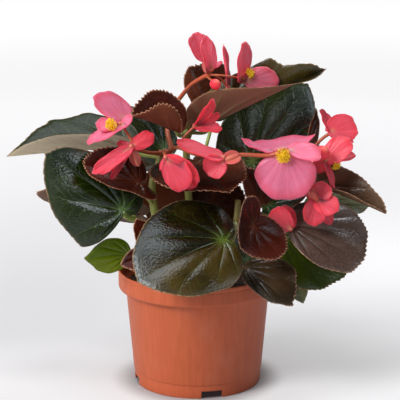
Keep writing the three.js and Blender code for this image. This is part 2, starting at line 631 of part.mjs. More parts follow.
function potSolid() {
  const rimBottom = POT_HEIGHT - RIM_HEIGHT;
  const wallTop = RIM_RADIUS - RIM_OVERHANG;
  const rimInside = RIM_RADIUS - RIM_LIP;
  const ledge = rimBottom + LEDGE_RISE;
  const floorTop = FLOOR_RAISE + WALL;
  const shell = revolve([
    [0, FLOOR_RAISE],
    [FOOT_RADIUS - WALL, FLOOR_RAISE],
    [FOOT_RADIUS - WALL, 0],
    [FOOT_RADIUS, 0],
    [FOOT_RADIUS + BAND_STEP, FOOT_BAND],
    [FOOT_RADIUS + 2 * BAND_STEP, FOOT_BAND],
    [wallTop, rimBottom],
    [RIM_RADIUS - RIM_EDGE, rimBottom],
    [RIM_RADIUS, rimBottom + RIM_EDGE_HEIGHT],
    [RIM_RADIUS, POT_HEIGHT],
    [rimInside, POT_HEIGHT],
    [rimInside - LEDGE_SLOPE[0], ledge + LEDGE_SLOPE[1]],
    [wallTop - WALL, ledge],
    [wallTop - WALL, rimBottom],
    [FOOT_RADIUS - WALL, floorTop],
    [0, floorTop],
  ], POT_SIDES);
  return NOTCH_TURNS.reduce((pot, turn) => {
    const notch = new THREE.BoxGeometry(NOTCH_WIDTH, NOTCH_DEPTH, 2 * NOTCH_HEIGHT);
    notch.translate(0, -FOOT_RADIUS, 0);
    notch.rotateZ(radians(turn));
    return pot.subtract(solidFrom(notch));
  }, shell);
}

function soilSolid() {
  const wallTop = RIM_RADIUS - RIM_OVERHANG - WALL - GAP - SOIL_DRAFT;
  const floorTop = FLOOR_RAISE + WALL + GAP;
  const rimBottom = POT_HEIGHT - RIM_HEIGHT;
  return revolve([
    [0, floorTop],
    [FOOT_RADIUS - WALL - GAP - SOIL_DRAFT, floorTop],
    [wallTop, rimBottom],
    [wallTop, SOIL_TOP - SOIL_MOUND],
    [wallTop - SOIL_SHOULDER, SOIL_TOP],
    [0, SOIL_TOP],
  ], POT_SIDES);
}

// The scene graph

const plant = new THREE.Group();

function addNode(name, solid, color, roughness = 0.5) {
  const { vertProperties, triVerts } = solid.getMesh();
  const geometry = new THREE.BufferGeometry();
  geometry.setAttribute('position', new THREE.BufferAttribute(vertProperties, 3));
  geometry.setIndex(new THREE.BufferAttribute(triVerts, 1));
  geometry.computeVertexNormals();
  const material = new THREE.MeshStandardMaterial({ color, roughness, metalness: 0 });
  const node = new THREE.Mesh(geometry, material);
  node.name = name;
  plant.add(node);
}

function leafColour(name) {
  if (GREEN_LEAVES.includes(name)) return FRESH_GREEN;
  return DARK_LEAVES.includes(name) ? DARK_GREEN : BRONZE;
}

const grownBlooms = Object.values(BLOOMS).map((bloom) => bloomSolid(bloom, GAP));
const grownBuds = Object.values(BUDS).map(({ at, radius }) => ball(at, radius + GAP));
const grownSprays = Object.values(SPRAYS).map((spray) => stalkSolid(spray, GAP));
const grownLeaves = Object.values(LEAVES).map((leaf) => leafSolid(leaf, GAP));

const stemHoles = Object.values(STEMS).map(({ radius, path: [[x, y, foot]] }) => {
  const hole = new THREE.CylinderGeometry(radius + HOLE_ROOM, radius + HOLE_ROOM, POT_HEIGHT - foot, 8);
  hole.rotateX(Math.PI / 2);
  hole.translate(x, y, (POT_HEIGHT + foot) / 2 - GAP);
  return solidFrom(hole);
});

addNode('pot', potSolid(), TERRACOTTA, 0.45);
addNode('soil', clearOf(soilSolid(), stemHoles), SOIL_BROWN, 0.95);

for (const [name, stem] of Object.entries(STEMS)) {
  addNode(name, clearOf(stemSolid(stem), [...grownSprays, ...grownLeaves, ...grownBlooms]), STEM_GREEN);
}
for (const [name, leaf] of Object.entries(LEAVES)) {
  addNode(name, leafSolid(leaf), leafColour(name), 0.35);
}
const carried = [...grownBlooms, ...grownBuds];
Object.entries(SPRAYS).forEach(([name, spray], index) => {
  const lower = grownSprays.slice(0, index);
  addNode(name, clearOf(stalkSolid(spray), [...carried, ...lower]), STALK_ORANGE);
});
for (const [name, { at, radius }] of Object.entries(BUDS)) {
  addNode(name, ball(at, radius), CORAL);
}
for (const [name, bloom] of Object.entries(BLOOMS)) {
  addNode(name, bloomSolid(bloom), PALE_BLOOMS.includes(name) ? PINK : CORAL);
  if (!bloom.stamens) continue;
  const tuft = ball(bloom.stamens.at, bloom.stamens.radius);
  const stamens = clearOf(tuft, [...grownBlooms, ...grownSprays]);
  addNode(name.replace('bloom', 'stamens'), stamens, STAMEN_YELLOW, 0.8);
}

export default plant;
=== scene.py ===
"""A flowering begonia in a plastic nursery pot: fine leaves, blooms, stalks, pot, soil and studio."""

import math

import bpy
import mathutils
import numpy as np
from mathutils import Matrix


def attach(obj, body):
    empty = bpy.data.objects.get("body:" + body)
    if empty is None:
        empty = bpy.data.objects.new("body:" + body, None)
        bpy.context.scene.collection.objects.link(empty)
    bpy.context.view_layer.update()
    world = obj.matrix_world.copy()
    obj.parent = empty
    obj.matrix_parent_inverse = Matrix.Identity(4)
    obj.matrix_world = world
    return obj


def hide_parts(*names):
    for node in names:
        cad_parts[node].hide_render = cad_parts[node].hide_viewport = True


bl_info = {
    'name': 'Potted begonia',
    'version': (1, 0, 0),
    'blender': (4, 5, 0),
    'location': 'View3D > Sidebar > Begonia',
    'description': 'Leaves, blooms, stalks, pot and studio of a potted begonia',
    'category': 'Add Mesh',
}

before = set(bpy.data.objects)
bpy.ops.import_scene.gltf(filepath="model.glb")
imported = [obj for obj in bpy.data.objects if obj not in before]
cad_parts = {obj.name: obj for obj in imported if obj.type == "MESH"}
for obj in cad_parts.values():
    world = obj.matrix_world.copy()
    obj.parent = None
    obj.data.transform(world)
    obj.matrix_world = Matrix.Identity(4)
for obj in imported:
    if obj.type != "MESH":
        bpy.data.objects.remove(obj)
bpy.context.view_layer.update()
MM = 0.001

# Leaves, in mm and degrees. look names the paints. Each blade runs from its stalk (base) to its tip.
# roll turns it about that line, with 0 facing up. half gives the half widths left and right of the
# midrib, back the two basal lobes as shares of the length, belly the widest place. fold lifts each
# half, cup curls it on, arc droops the tip, twist turns the outer part, and each lobe swells the margin.
# stalk is the radius of a stalk that isn't like the others, and teeth are fine, round or else sharp.
LEAVES = {
    'front_low': dict(look='dark_olive', base=(21, -64, 135), tip=(-46, -96, 110), roll=30, half=(43, 53),
        back=(.15, .35), belly=.3, fold=(-5, 10), cup=(-25, -5), arc=30, teeth='fine'),
    'left_big': dict(look='dark', base=(-58, -38, 152), tip=(-118, -53, 202), roll=55, half=(49, 30),
        back=(.05, .25), belly=.2, fold=(-10, 10), cup=(-20, 10), arc=20, stalk=2.8, teeth='fine'),
    'left_long': dict(look='dark_silver', base=(-54, -8, 196), tip=(-152, -5, 189), roll=10, half=(35, 38),
        back=(.1, .15), belly=.4, fold=(50, 35), cup=(-10, 0), arc=5,
        lobes=((-.34, .03, .06), (-.52, .05, .08)), teeth='fine'),
    'left_mid': dict(look='bronze', base=(-46, -38, 174), tip=(-88, -54, 192), roll=30, half=(22, 24),
        back=(.45, .2), belly=.3, fold=(0, 20), cup=(20, 35), arc=5, point=0, teeth='round'),
    'upper_round': dict(look='bronze', base=(-15, -34, 215), tip=(-51, -39, 230), roll=40, half=(42, 26),
        back=(.05, .2), belly=.5, fold=(30, 25), cup=(85, 25), point=0, teeth='round'),
    'behind_upper': dict(look='dark', base=(-27, 26, 186), tip=(-57, 18, 224), roll=60, half=(24, 24),
        fold=(5, 5)),
    'top_right': dict(look='dark_olive', base=(8, -14, 215), tip=(101, -10, 260), roll=-15, half=(34, 33),
        back=(.3, .2), belly=.15, fold=(22, 85), cup=(-5, 5), twist=80,
        lobes=((.3, .035, .1), (.2, .04, -.05), (.1, .05, .05))),
    'right_back_big': dict(look='dark', base=(43, 14, 179), tip=(91, 37, 241), roll=-65, half=(43, 41),
        back=(.35, .25), belly=.3, fold=(5, -5), cup=(-10, -10), arc=10, teeth='fine'),
    'right_long': dict(look='bronze_pale', base=(94, -10, 166), tip=(149, -38, 150), roll=-25,
        half=(24, 26), belly=.25, fold=(50, 50), cup=(5, 0), arc=5),
    'right_bronze': dict(look='bronze_grey', base=(73, -38, 140), tip=(135, -30, 128), roll=-45,
        half=(29, 39), back=(.15, .05), belly=.6, fold=(5, 10), cup=(-25, -10), arc=15, point=0),
    'right_green': dict(look='olive', base=(69, -20, 125), tip=(120, -12, 92), roll=-45, half=(26, 38),
        fold=(0, 0), cup=(-10, -10)),
    'low_right': dict(look='bronze_olive', base=(36, -54, 110), tip=(73, -75, 85), roll=-35, half=(33, 12),
        back=(.05, .05), belly=.5, fold=(-5, 0), cup=(-10, -20), arc=20),
    'low_right_small': dict(look='pale', base=(73, -20, 102), tip=(85, -30, 73), roll=-40, half=(11, 10),
        arc=20),
    'cupped': dict(look='bronze', base=(43, -60, 145), tip=(33, -76, 132), roll=65, half=(33, 32),
        back=(.9, .8), belly=0, fold=(0, 30), cup=(35, 5), arc=-10, point=0, sinus=.4, teeth='round'),
    'centre_wide': dict(look='bronze_dark', base=(-1, -14, 185), tip=(25, -63, 172), roll=-5, half=(35, 50),
        back=(.35, .45), belly=.3, cup=(-5, -25), arc=10, teeth='round'),
    'low_left_green': dict(look='green', base=(-54, -36, 116), tip=(-88, -58, 119), roll=85, half=(17, 17),
        back=(.05, .05), belly=.45, fold=(-5, 5), cup=(-5, 0), arc=-5, point=.2, sinus=.2, teeth='fine'),
    'low_left_bronze': dict(look='bronze', base=(-37, -52, 122), tip=(-60, -56, 113), roll=55, half=(14, 9),
        back=(.15, .15)),
    'left_far': dict(look='bronze_grey', base=(-51, -8, 142), tip=(-130, 4, 155), roll=-45, half=(22, 29),
        belly=.4, point=0),
    'right_sliver': dict(look='bronze_dark', base=(88, 6, 190), tip=(96, 14, 224), roll=-50, half=(4, 8),
        fold=(50, 20)),
    'right_under': dict(look='pale', base=(94, 6, 146), tip=(141, -2, 147), roll=-30, half=(14, 18)),
    'inner_left': dict(look='bronze', base=(-38, -45, 125), tip=(-48, -46, 148), face=(.2, -.9, .2),
        half=(9, 10)),
    'right_dark': dict(look='dark', base=(56, -17, 151), tip=(92, -20, 168), roll=-40, half=(17, 16)),
    'inner_right': dict(look='bronze_dark', base=(50, -24, 156), tip=(38, -24, 184), roll=60, half=(14, 15),
        fold=(20, 10), teeth='round'),
    'inner_middle': dict(look='bronze_dark', base=(-5, 22, 125), tip=(-5, 24, 180), face=(0, -1, .1),
        half=(45, 50), fold=(3, 3), lobes=((.32, .12, .2),)),
    'inner_low': dict(look='dark', base=(40, -28, 108), tip=(29, -32, 142), face=(.1, -.9, .3),
        half=(14, 14)),
    'back_left_high': dict(look='dark', base=(-36, 42, 170), tip=(-108, 76, 156), roll=-25, half=(34, 32),
        cup=(-10, -10), arc=20),
    'back_right_high': dict(look='dark_olive', base=(44, 48, 178), tip=(106, 86, 176), roll=20,
        half=(32, 34), cup=(-10, -10), arc=20),
    'back_centre_high': dict(look='bronze_dark', base=(12, 40, 213), tip=(-5, 40, 255), face=(.1, -1, .1),
        half=(12, 28), belly=.65, fold=(5, 5), cup=(-10, -10), arc=10, point=0),
    'back_left_low': dict(look='olive', base=(-36, 42, 129), tip=(-90, 80, 108), roll=-10, half=(32, 32),
        cup=(-10, -10), arc=30),
    'back_right_low': dict(look='dark', base=(38, 36, 130), tip=(96, 68, 106), roll=10, half=(32, 32),
        cup=(-10, -10), arc=30),
    'back_centre_low': dict(look='bronze_dark', base=(10, 46, 126), tip=(18, 104, 102), half=(32, 32),
        cup=(-10, -10), arc=35),
}

# Stems from the soil upwards: path, radius, the share of the way up at which the stalk of each leaf
# grows out, and other stalks as radius and path
STEMS = {
    'left': dict(
        radius=3.1,
        path=((-20, -8, 72), (-20, -8, 87), (-28, -18, 115), (-34, -28, 150), (-36, -14, 170),
              (-31, -8, 184), (-27, -18, 195)),
        leaves=dict(left_big=.4, left_far=.34, left_mid=.5, low_left_green=.25, low_left_bronze=.28,
                    inner_left=.37, left_long=.86),
    ),
    'centre': dict(
        radius=3.3,
        path=((0, 6, 72), (0, 6, 87), (-4, 12, 120), (-8, 16, 160), (-9, 12, 190), (-8, 0, 208)),
        leaves=dict(upper_round=.98, top_right=.96, centre_wide=.68, behind_upper=.64, inner_middle=.3),
    ),
    'right': dict(
        radius=3.1,
        path=((20, 4, 72), (20, 4, 87), (28, 2, 115), (38, 2, 145), (46, 0, 156), (53, -5, 165)),
        leaves=dict(right_back_big=.96, right_long=.92, right_under=.84, right_bronze=.68,
                    right_green=.56, right_sliver=.92, right_dark=.76),
        stalks=((1.2, ((34, 2, 134), (52, -26, 136), (73, -45, 139))),),
    ),
    'front': dict(
        radius=2.6,
        path=((12, -22, 72), (12, -22, 89), (18, -34, 105), (26, -40, 125), (30, -38, 140),
              (32, -36, 160)),
        leaves=dict(front_low=.62, cupped=.75, low_right=.41, low_right_small=.29, inner_right=.84,
                    inner_low=.35),
    ),
    'back': dict(
        radius=3.1,
        path=((2, 28, 72), (2, 28, 87), (2, 32, 115), (2, 30, 150), (3, 26, 172)),
        leaves=dict(back_left_high=.93, back_right_high=.96, back_centre_high=.98, back_left_low=.51,
                    back_right_low=.55, back_centre_low=.47),
    ),
}

# Flower stalks: radius and path of each part
SPRAYS = {
    'top': (
        (1.9, ((-20, -18, 196), (-24, -8, 210), (-22, 14, 222), (-13, 12, 235), (-4, -2, 247),
             (5, -11, 254), (10, -15, 257))),
        (1.5, ((8, -14, 256), (11, -16, 261))),
        (.85, ((8, -14, 256), (15, -20, 257), (25, -20, 256), (35, -13, 253))),
        (1, ((7, -13, 255), (14, -28, 252))),
        (.85, ((10, -15, 257), (18, -13, 253), (24, -10, 245))),
    ),
    'middle': (
        (2.7, ((-30, -18, 194), (-23, -18, 195))),
        (1.7, ((-30, -18, 194), (-39, -34, 198), (-47, -48, 204), (-51, -50, 206))),
        (1.7, ((-23, -18, 195), (-15, -34, 202), (-4, -46, 200), (8, -50, 198), (22, -52, 199),
             (34, -52, 200), (51, -50, 199), (64, -52, 201))),
        (1.4, ((-27, -20, 195), (-26, -42, 200), (-24, -65, 201))),
        (1, ((-15, -34, 202), (-11, -36, 210), (-2, -34, 219))),
        (1.25, ((-47, -48, 204), (-52, -46, 212), (-59, -42, 222))),
    ),
    'right': (
        (1.95, ((54, -6, 165), (73, -4, 182), (91, -14, 196))),
        (1.45, ((91, -14, 196), (99, -14, 205), (106, -14, 210))),
        (1.35, ((91, -14, 196), (95, -26, 194), (100, -36, 192))),
        (1.15, ((91, -14, 196), (91, -30, 202), (97, -43, 200))),
        (1.35, ((91, -14, 196), (88, -30, 178), (93, -46, 163))),
    ),
}

# Closed buds
BUDS = {
    'top': dict(at=(14, -29, 251), radius=4.6),
    'right': dict(at=(97, -44, 200), radius=5.9),
}

# Blooms: centre, colour where it isn't coral, seed case (start, end, radius), stamens (middle, radius),
# and tepals, which run from the centre or their own base to a tip and show their inner side to face
BLOOMS = {
    'top_left': dict(centre=(11, -16, 261), colour='painted_light_coral', ovary=((8, -16, 257), (6, -17, 269), 4), tepals=(
        dict(base=(6, -16, 268), tip=(-4, -20, 289), face=(.3, -.9, .3), half=(8, 9), belly=.65,
            cup=(20, 20)),
        dict(tip=(5, -26, 288), face=(.6, -.8, .1), half=(7, 7), fold=(0, 20), cup=(20, 10)),
        dict(tip=(19, -8, 266), face=(.5, .5, .6), half=(4, 4)),
    )),
    'top_thin': dict(centre=(24, -10, 245), colour='painted_light_coral', tepals=(
        dict(tip=(20, -12, 280), face=(1, -.2, 0), half=(8, 8), cup=(15, 15)),
        dict(tip=(21, -7, 276), face=(1, -.2, 0), half=(6, 6), cup=(15, 15)),
    )),
    'top_right': dict(centre=(36, -13, 253), colour='painted_light_coral', stamens=((41, -14, 257), 4), tepals=(
        dict(base=(34, -14, 251), tip=(37, -15, 282), face=(.8, -.6, .1), half=(10, 9), belly=.6,
            cup=(15, 20)),
        dict(base=(38, -13, 251), tip=(64, -14, 247), face=(-.3, -.9, 0), half=(14, 7)),
        dict(tip=(41, -7, 261), face=(-.1, -.8, .6), half=(4, 4)),
    )),
    'upper_middle': dict(centre=(-2, -34, 219), tepals=(
        dict(tip=(12, -40, 241), face=(.8, -.7, .2), half=(5, 6), belly=.6, fold=(10, 20), cup=(20, 40)),
        dict(tip=(17, -34, 229), face=(.4, -.9, 0), half=(3, 5), belly=.6),
        dict(tip=(19, -38, 217), face=(0, -.6, .8), half=(6, 8), belly=.55, fold=(0, 10), cup=(20, 30)),
    )),
    'centre': dict(centre=(20, -58, 199), ovary=((33, -54, 200), (19, -59, 196), 5.5), tepals=(
        dict(tip=(-16, -57, 212), face=(.1, -.6, .8), half=(9, 9), belly=.45, fold=(5, -5), cup=(15, -25)),
        dict(base=(20, -60, 197), tip=(7, -62, 188), face=(-.2, -.9, .1), half=(10, 11), belly=.55,
            cup=(30, 30)),
        dict(base=(20, -58, 196), tip=(7, -52, 185), face=(-.2, .9, .1), half=(10, 10), belly=.55,
            cup=(30, 30)),
    )),
    'heart': dict(centre=(-24, -66, 201), tepals=(
        dict(tip=(-11, -72, 176), face=(-.1, -.9, -.1), half=(14, 9), belly=.55, fold=(-20, -15),
            cup=(55, 40)),
        dict(tip=(-1, -67, 178), face=(.5, .8, .2), half=(12, 12), belly=.55, fold=(-10, -10),
            cup=(30, 45)),
        dict(tip=(-29, -60, 190), face=(-.8, -.4, .2), half=(3, 3)),
    )),
    'left_open': dict(centre=(-60, -42, 222), colour='pink', stamens=((-66, -49, 223), 4.8), tepals=(
        dict(base=(-55, -38, 224), tip=(-80, -40, 243), face=(-.1, -.8, .6), half=(8, 13), belly=.45,
            cup=(10, 0), back=(.15, .15)),
        dict(base=(-54, -44, 223), tip=(-84, -54, 209), face=(-.3, -.3, .9), half=(8, 11), cup=(5, 10)),
        dict(base=(-63, -44, 223), tip=(-78, -48, 222), face=(-.3, -.8, .5), half=(6, 6), belly=.55),
        dict(base=(-58, -43, 222), tip=(-50, -48, 229), face=(.2, -.7, .6), half=(4, 4), belly=.55),
    )),
    'left_lower': dict(centre=(-51, -50, 206), ovary=((-51, -50, 205), (-45, -54, 191), 4), tepals=(
        dict(tip=(-79, -70, 189), face=(-.2, -.7, .6), half=(8, 6.5), belly=.6, cup=(10, 20)),
        dict(tip=(-34, -46, 215), face=(-.1, .8, -.6), half=(7, 7), belly=.6, cup=(10, 10)),
        dict(tip=(-66, -63, 183), face=(0, -.8, .4), half=(2.5, 3), belly=.7),
        dict(tip=(-62, -46, 208), face=(0, -.8, .4), half=(3, 3), belly=.6),
    )),
    'right_big': dict(centre=(65, -52, 201), colour='pink', stamens=((66, -55, 200), 5.85), tepals=(
        dict(base=(68, -50, 202), tip=(69, -56, 165), face=(-.1, -1, .2), half=(23.3, 23.8), belly=.45,
            fold=(3, 3), cup=(-10, -10), arc=8, back=(0, 0)),
        dict(base=(65, -49, 204), tip=(66, -16, 207), face=(-.15, -.4, .9), half=(26, 24), belly=.55,
            fold=(-6, -4), cup=(20, 14), arc=-10, lobes=((-.5, .1, .15),)),
        dict(base=(59, -50, 202), tip=(34, -42, 211), face=(.3, -.2, .9), half=(5, 6), arc=-35),
        dict(base=(70, -52, 204), tip=(94, -62, 199), face=(0, -.8, .6), half=(10, 5), belly=.55,
            cup=(10, 0)),
    )),
    'right_upper': dict(centre=(106, -14, 210), tepals=(
        dict(base=(105, -16, 211), tip=(127, -14, 211), face=(-.1, -.8, .5), half=(14.5, 9), cup=(10, 10),
            back=(.2, .1)),
        dict(tip=(123, -20, 203), face=(.1, -.6, .8), half=(6, 5), cup=(-10, 10)),
        dict(tip=(99, -4, 227), face=(.8, -.6, .2), half=(7, 7), belly=.55, cup=(10, 10)),
    )),
    'right_middle': dict(centre=(100, -36, 192), stamens=((108, -38, 189), 3.6), tepals=(
        dict(tip=(120, -36, 207), face=(.1, -.8, .6), half=(11, 9), cup=(-15, 10), arc=10),
        dict(tip=(125, -22, 194), face=(.1, -.6, .8), half=(6, 5)),
        dict(tip=(107, -41, 171), face=(.6, -.8, .1), half=(3.5, 3.5), belly=.4),
        dict(tip=(92, -28, 182), face=(.1, -.9, .2), half=(6, 6), belly=.6),
    )),
    'right_low': dict(centre=(93, -46, 163), ovary=((88, -50, 172), (93, -47, 163), 4.2), tepals=(
        dict(tip=(100, -44, 176), face=(0, -.9, .3), half=(8, 9), cup=(10, 20), back=(.1, .1)),
        dict(tip=(109, -54, 156), face=(-.1, -.8, .7), half=(9, 9), cup=(15, 0), back=(.1, .1)),
        dict(tip=(90, -50, 143), face=(.1, -.9, .1), half=(9, 10), cup=(20, 20), back=(.1, .1)),
        dict(tip=(105, -42, 142), face=(.1, -.9, .1), half=(6, 5)),
        dict(tip=(85, -42, 170), face=(.1, -.9, .1), half=(4, 5)),
    )),
    'right_bud': dict(centre=(73, -45, 139), tepals=(
        dict(tip=(60, -43, 155), face=(0, -.9, .4), half=(12, 8), belly=.55, cup=(15, 35)),
        dict(tip=(65, -37, 155), face=(-.1, .9, .3), half=(9, 9), belly=.55, cup=(25, 30)),
    )),
}

# Looks of the leaves: upper side, its lighter tone for random patches and for the painted light on one
# half, underside, veins, margin, and share of gloss
LEAF_PAINTS = {
    'dark': ((14, 24, 2), (38, 48, 8), (112, 70, 46), (104, 138, 70), (150, 118, 84), 1),
    'dark_olive': ((12, 13, 5), (66, 52, 12), (142, 98, 74), (84, 104, 38), (160, 124, 88), .85),
    'dark_silver': ((30, 37, 16), (50, 55, 28), (226, 210, 180), (128, 136, 104), (160, 132, 104), .25),
    'olive': ((50, 64, 8), (74, 84, 14), (104, 84, 50), (80, 96, 40), (150, 118, 76), .3),
    'bronze': ((44, 12, 6), (80, 28, 14), (104, 52, 34), (106, 52, 32), (196, 144, 114), .03),
    'bronze_dark': ((42, 19, 11), (90, 44, 27), (100, 52, 32), (108, 62, 40), (190, 138, 108), .08),
    'bronze_pale': ((76, 54, 40), (100, 76, 58), (126, 90, 66), (140, 104, 76), (190, 146, 116), .3),
    'bronze_grey': ((72, 54, 46), (108, 91, 83), (112, 84, 68), (118, 94, 78), (186, 140, 112), .5),
    'bronze_olive': ((36, 27, 14), (66, 48, 30), (112, 84, 68), (100, 84, 50), (186, 140, 112), .6),
    'green': ((86, 110, 6), (120, 138, 14), (96, 112, 40), (120, 138, 50), (96, 88, 36), .3),
    'pale': ((84, 86, 56), (110, 112, 76), (140, 134, 104), (120, 122, 84), (120, 100, 76), .3),
}
LEAF_DEFAULTS = dict(back=(.25, .25), belly=.35, fold=(10, 10), point=.12, sinus=.75)
TEPAL_DEFAULTS = dict(back=(.05, .05), belly=.5, fold=(5, 5), point=0, sinus=.3)
MAIN_VEINS = 9
TEETH_BITE = {'fine': .4, 'sharp': .8, 'round': 1.05}

# Sizes in mm: length from which a leaf counts as big, radius of a leaf stalk, length of the scales at
# the joints, radius of a bloom's middle, and of the neck that leads to a tepal with its own base
BIG_LEAF = 45
STALK_RADIUS = 1.7
JOINT_SCALE = 8
HEART_RADIUS = 2.1
NECK_RADIUS = 1.1

# Places of the finishes in the list of a stem and of a bloom
SCALE, LEAF_STALK = 1, 2
FLESH = 1

# Points round and rings from the stalk to the margin of big leaves, other leaves and tepals
BIG_GRID, LEAF_GRID, TEPAL_GRID = (312, 13), (168, 8), (96, 12)

# Pot and soil, in mm and degrees
WALL = 1.4
FLOOR_RAISE = 7
RIM_BAND = 15
RIM_OVERHANG = 6
NOTCH_TURNS = (13, 103, 193, 283)
NOTCH_WIDTH = 17
NOTCH_HEIGHT = 6
SOIL_ROOM = .4
SOIL_WAVES = 40
CRUMBS = 220

# Studio: side of the photo and focal length in pixels, width of the camera's sensor in mm, and in
# metres the point aimed at and how far the floor reaches
PHOTO_SIDE = 400
FOCAL_LENGTH = 1477
SENSOR = 36
AIM = (.002, 0, .1516)
FLOOR_REACH = 9

# Lamps: place and sides in metres, power in watts, tint, turn in degrees, and what they light
LAMPS = {
    'window': ((-2.1, -1.7, 2.1), (1.3, 1.3), 98, (1, .99, .97), 0, 'all'),
    'fill': ((-2.1, -1.7, 1.1), (1.6, 1.2), 16, (1, .98, .97), 0, 'colour'),
    'top': ((-.6, -.35, 2.2), (1.2, 1.3), 18, (.95, .975, 1), 0, 'all'),
    'back': ((.76, .79, 2.07), (.7, .7), 16, (.97, .985, 1), 0, 'all'),
    'front': ((.8, -2.4, 1.1), (.5, .7), 3, (1, .98, .96), 0, 'all'),
    'strip': ((1.62, -1.05, .97), (.3, 1), 8, (.95, .975, 1), 52, 'gloss'),
}


def length_setting(name, description, default):
    """A length that can be set in the sidebar, in metres."""
    return bpy.props.FloatProperty(name=name, description=description, default=default, unit='LENGTH')


def colour_setting(name, description, *default):
    """A colour that can be set in the sidebar."""
    return bpy.props.FloatVectorProperty(
        name=name, description=description, default=default, subtype='COLOR', min=0, max=1)


class PotSettings(bpy.types.PropertyGroup):
    """Sizes of the pot and colours of the pot and soil."""
    height: length_setting('Height', 'Height of the pot', 95 * MM)
    rim_radius: length_setting('Rim radius', 'Outer radius of the rim', 65 * MM)
    foot_radius: length_setting('Foot radius', 'Outer radius of the foot', 52 * MM)
    soil_top: length_setting('Soil top', 'Height of the soil', 84 * MM)
    plastic: colour_setting('Plastic', 'Colour of the pot', .48, .098, .035)
    soil: colour_setting('Soil', 'Colour of the moist soil', .022, .013, .009)


class LeafSettings(bpy.types.PropertyGroup):
    """Thickness, relief and gloss of all leaf blades."""
    thickness: length_setting('Thickness', 'Thickness of a leaf blade', .7 * MM)
    wave: length_setting('Wave', 'How far the margin waves up and down', 1 * MM)
    quilting: length_setting('Quilting', 'How far a blade swells between its veins', 1.1 * MM)
    roughness: bpy.props.FloatProperty(
        name='Roughness', description='Roughness of the upper side', default=.19, min=0, max=1,
        subtype='FACTOR')


class BloomSettings(bpy.types.PropertyGroup):
    """Thickness of the tepals and colours of blooms and flower stalks."""
    thickness: length_setting('Thickness', 'Thickness of a tepal', .7 * MM)
    coral: colour_setting('Coral', 'Colour of most blooms', .92, .042, .075)
    # a lighter copy of the coral: painted light on the topmost blooms
    painted_light_coral: colour_setting('Rosy', 'Colour of the topmost blooms', 1, .11, .17)
    pink: colour_setting('Pink', 'Colour of the two pale blooms', .94, .12, .21)
    stalk: colour_setting('Stalk', 'Colour of the flower stalks', .5, .115, .045)


class StudioSettings(bpy.types.PropertyGroup):
    """Place of the camera and colour of the floor."""
    distance: length_setting('Camera distance', 'Distance from the camera to the plant', 1.2)
    elevation: bpy.props.FloatProperty(
        name='Camera elevation', description='Height angle of the camera', default=math.radians(13.5),
        unit='ROTATION')
    floor: colour_setting('Floor', 'Colour of the floor', .42, .415, .43)


# Closed skins

def unit(vector):
    """The vector, or each row of an array, divided by its length."""
    vector = np.asarray(vector, float)
    return vector / np.maximum(np.linalg.norm(vector, axis=-1, keepdims=True), 1e-12)


def across(axis, spare):
    """Two directions at right angles to the axis and to each other, the first also to spare."""
    side = unit(np.cross(axis, spare))
    return side, np.cross(axis, side)


def round_upright(radius, turn, level):
    """Points at a radius, turn and level round the upright axis, where turn 0 is in front."""
    return np.stack(np.broadcast_arrays(radius * np.sin(turn), -radius * np.cos(turn), level), -1)


class Skin:
    """A closed surface: rings of points from one pole to the other, with a finish and marks."""

    def __init__(self, rings, start, end, finish=0, side=1, out=0, reach=0):
        rings = np.asarray(rings, float)
        rows, cols = rings.shape[:2]
        self.finish = finish
        self.points = np.concatenate([rings.reshape(-1, 3), [start, end]])
        ids = np.arange(rows * cols).reshape(rows, cols)
        beside = np.roll(ids, -1, axis=1)
        quads = np.stack([ids[:-1], ids[1:], beside[1:], beside[:-1]], -1).reshape(-1, 4)
        first, last = rows * cols, rows * cols + 1
        fans = np.concatenate([
            np.stack([np.full(cols, first), ids[0], beside[0]], -1),
            np.stack([np.full(cols, last), beside[-1], ids[-1]], -1),
        ])
        self.corners = np.concatenate([quads.ravel(), fans.ravel()])
        self.sizes = np.concatenate([np.full(len(quads), 4), np.full(len(fans), 3)])
        self.uv = self.surface_map(rows, cols)
        marks = {'side': side, 'out': out, 'reach': reach}
        self.marks = {key: np.broadcast_to(value, len(self.points)) for key, value in marks.items()}

    @staticmethod
    def surface_map(rows, cols):
        """u goes once round the rings and v from the first pole to the last, for each corner of the
        faces between rings and of the fans at both poles."""
        column, row = np.arange(cols)[:, None], np.arange(1, rows)[:, None, None]
        corners = (
            (column + (0, 0, 1, 1), row + (0, 1, 1, 0)),
            (column + (.5, 0, 1), (0, 1, 1)),
            (column + (.5, 1, 0), (rows + 1, rows, rows)),
        )
        return np.concatenate([
            np.stack(np.broadcast_arrays(u / cols, np.divide(v, rows + 1)), -1).reshape(-1, 2)
            for u, v in corners])


def make_piece(name, node, skins, finishes):
    """Puts closed skins, in mm, into one mesh object that takes the place of a node."""
    starts = np.cumsum([0] + [len(skin.points) for skin in skins])
    corners = np.concatenate([skin.corners + start for skin, start in zip(skins, starts)])
    sizes = np.concatenate([skin.sizes for skin in skins])
    mesh = bpy.data.meshes.new(name)
    mesh.vertices.add(starts[-1])
    points = np.concatenate([skin.points for skin in skins]) * MM
    mesh.vertices.foreach_set('co', points.astype(np.float32).ravel())
    mesh.loops.add(len(corners))
    mesh.loops.foreach_set('vertex_index', corners.astype(np.int32))
    mesh.polygons.add(len(sizes))
    mesh.polygons.foreach_set('loop_start', (np.cumsum(sizes) - sizes).astype(np.int32))
    finish = np.concatenate([np.full(len(skin.sizes), skin.finish) for skin in skins])
    mesh.polygons.foreach_set('material_index', finish.astype(np.int32))
    mesh.update(calc_edges=True)
    surface = mesh.uv_layers.new(name='surface')
    surface.data.foreach_set('uv', np.concatenate([skin.uv for skin in skins]).ravel())
    for key in skins[0].marks:
        values = np.concatenate([skin.marks[key] for skin in skins])
        mesh.attributes.new(key, 'FLOAT', 'POINT').data.foreach_set('value', values.astype(np.float32))
    mesh.shade_smooth()
    for finish in finishes:
        mesh.materials.append(finish)
    piece = bpy.data.objects.new(name, mesh)
    bpy.context.scene.collection.objects.link(piece)
    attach(piece, 'root')
    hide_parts(node)


# Blades

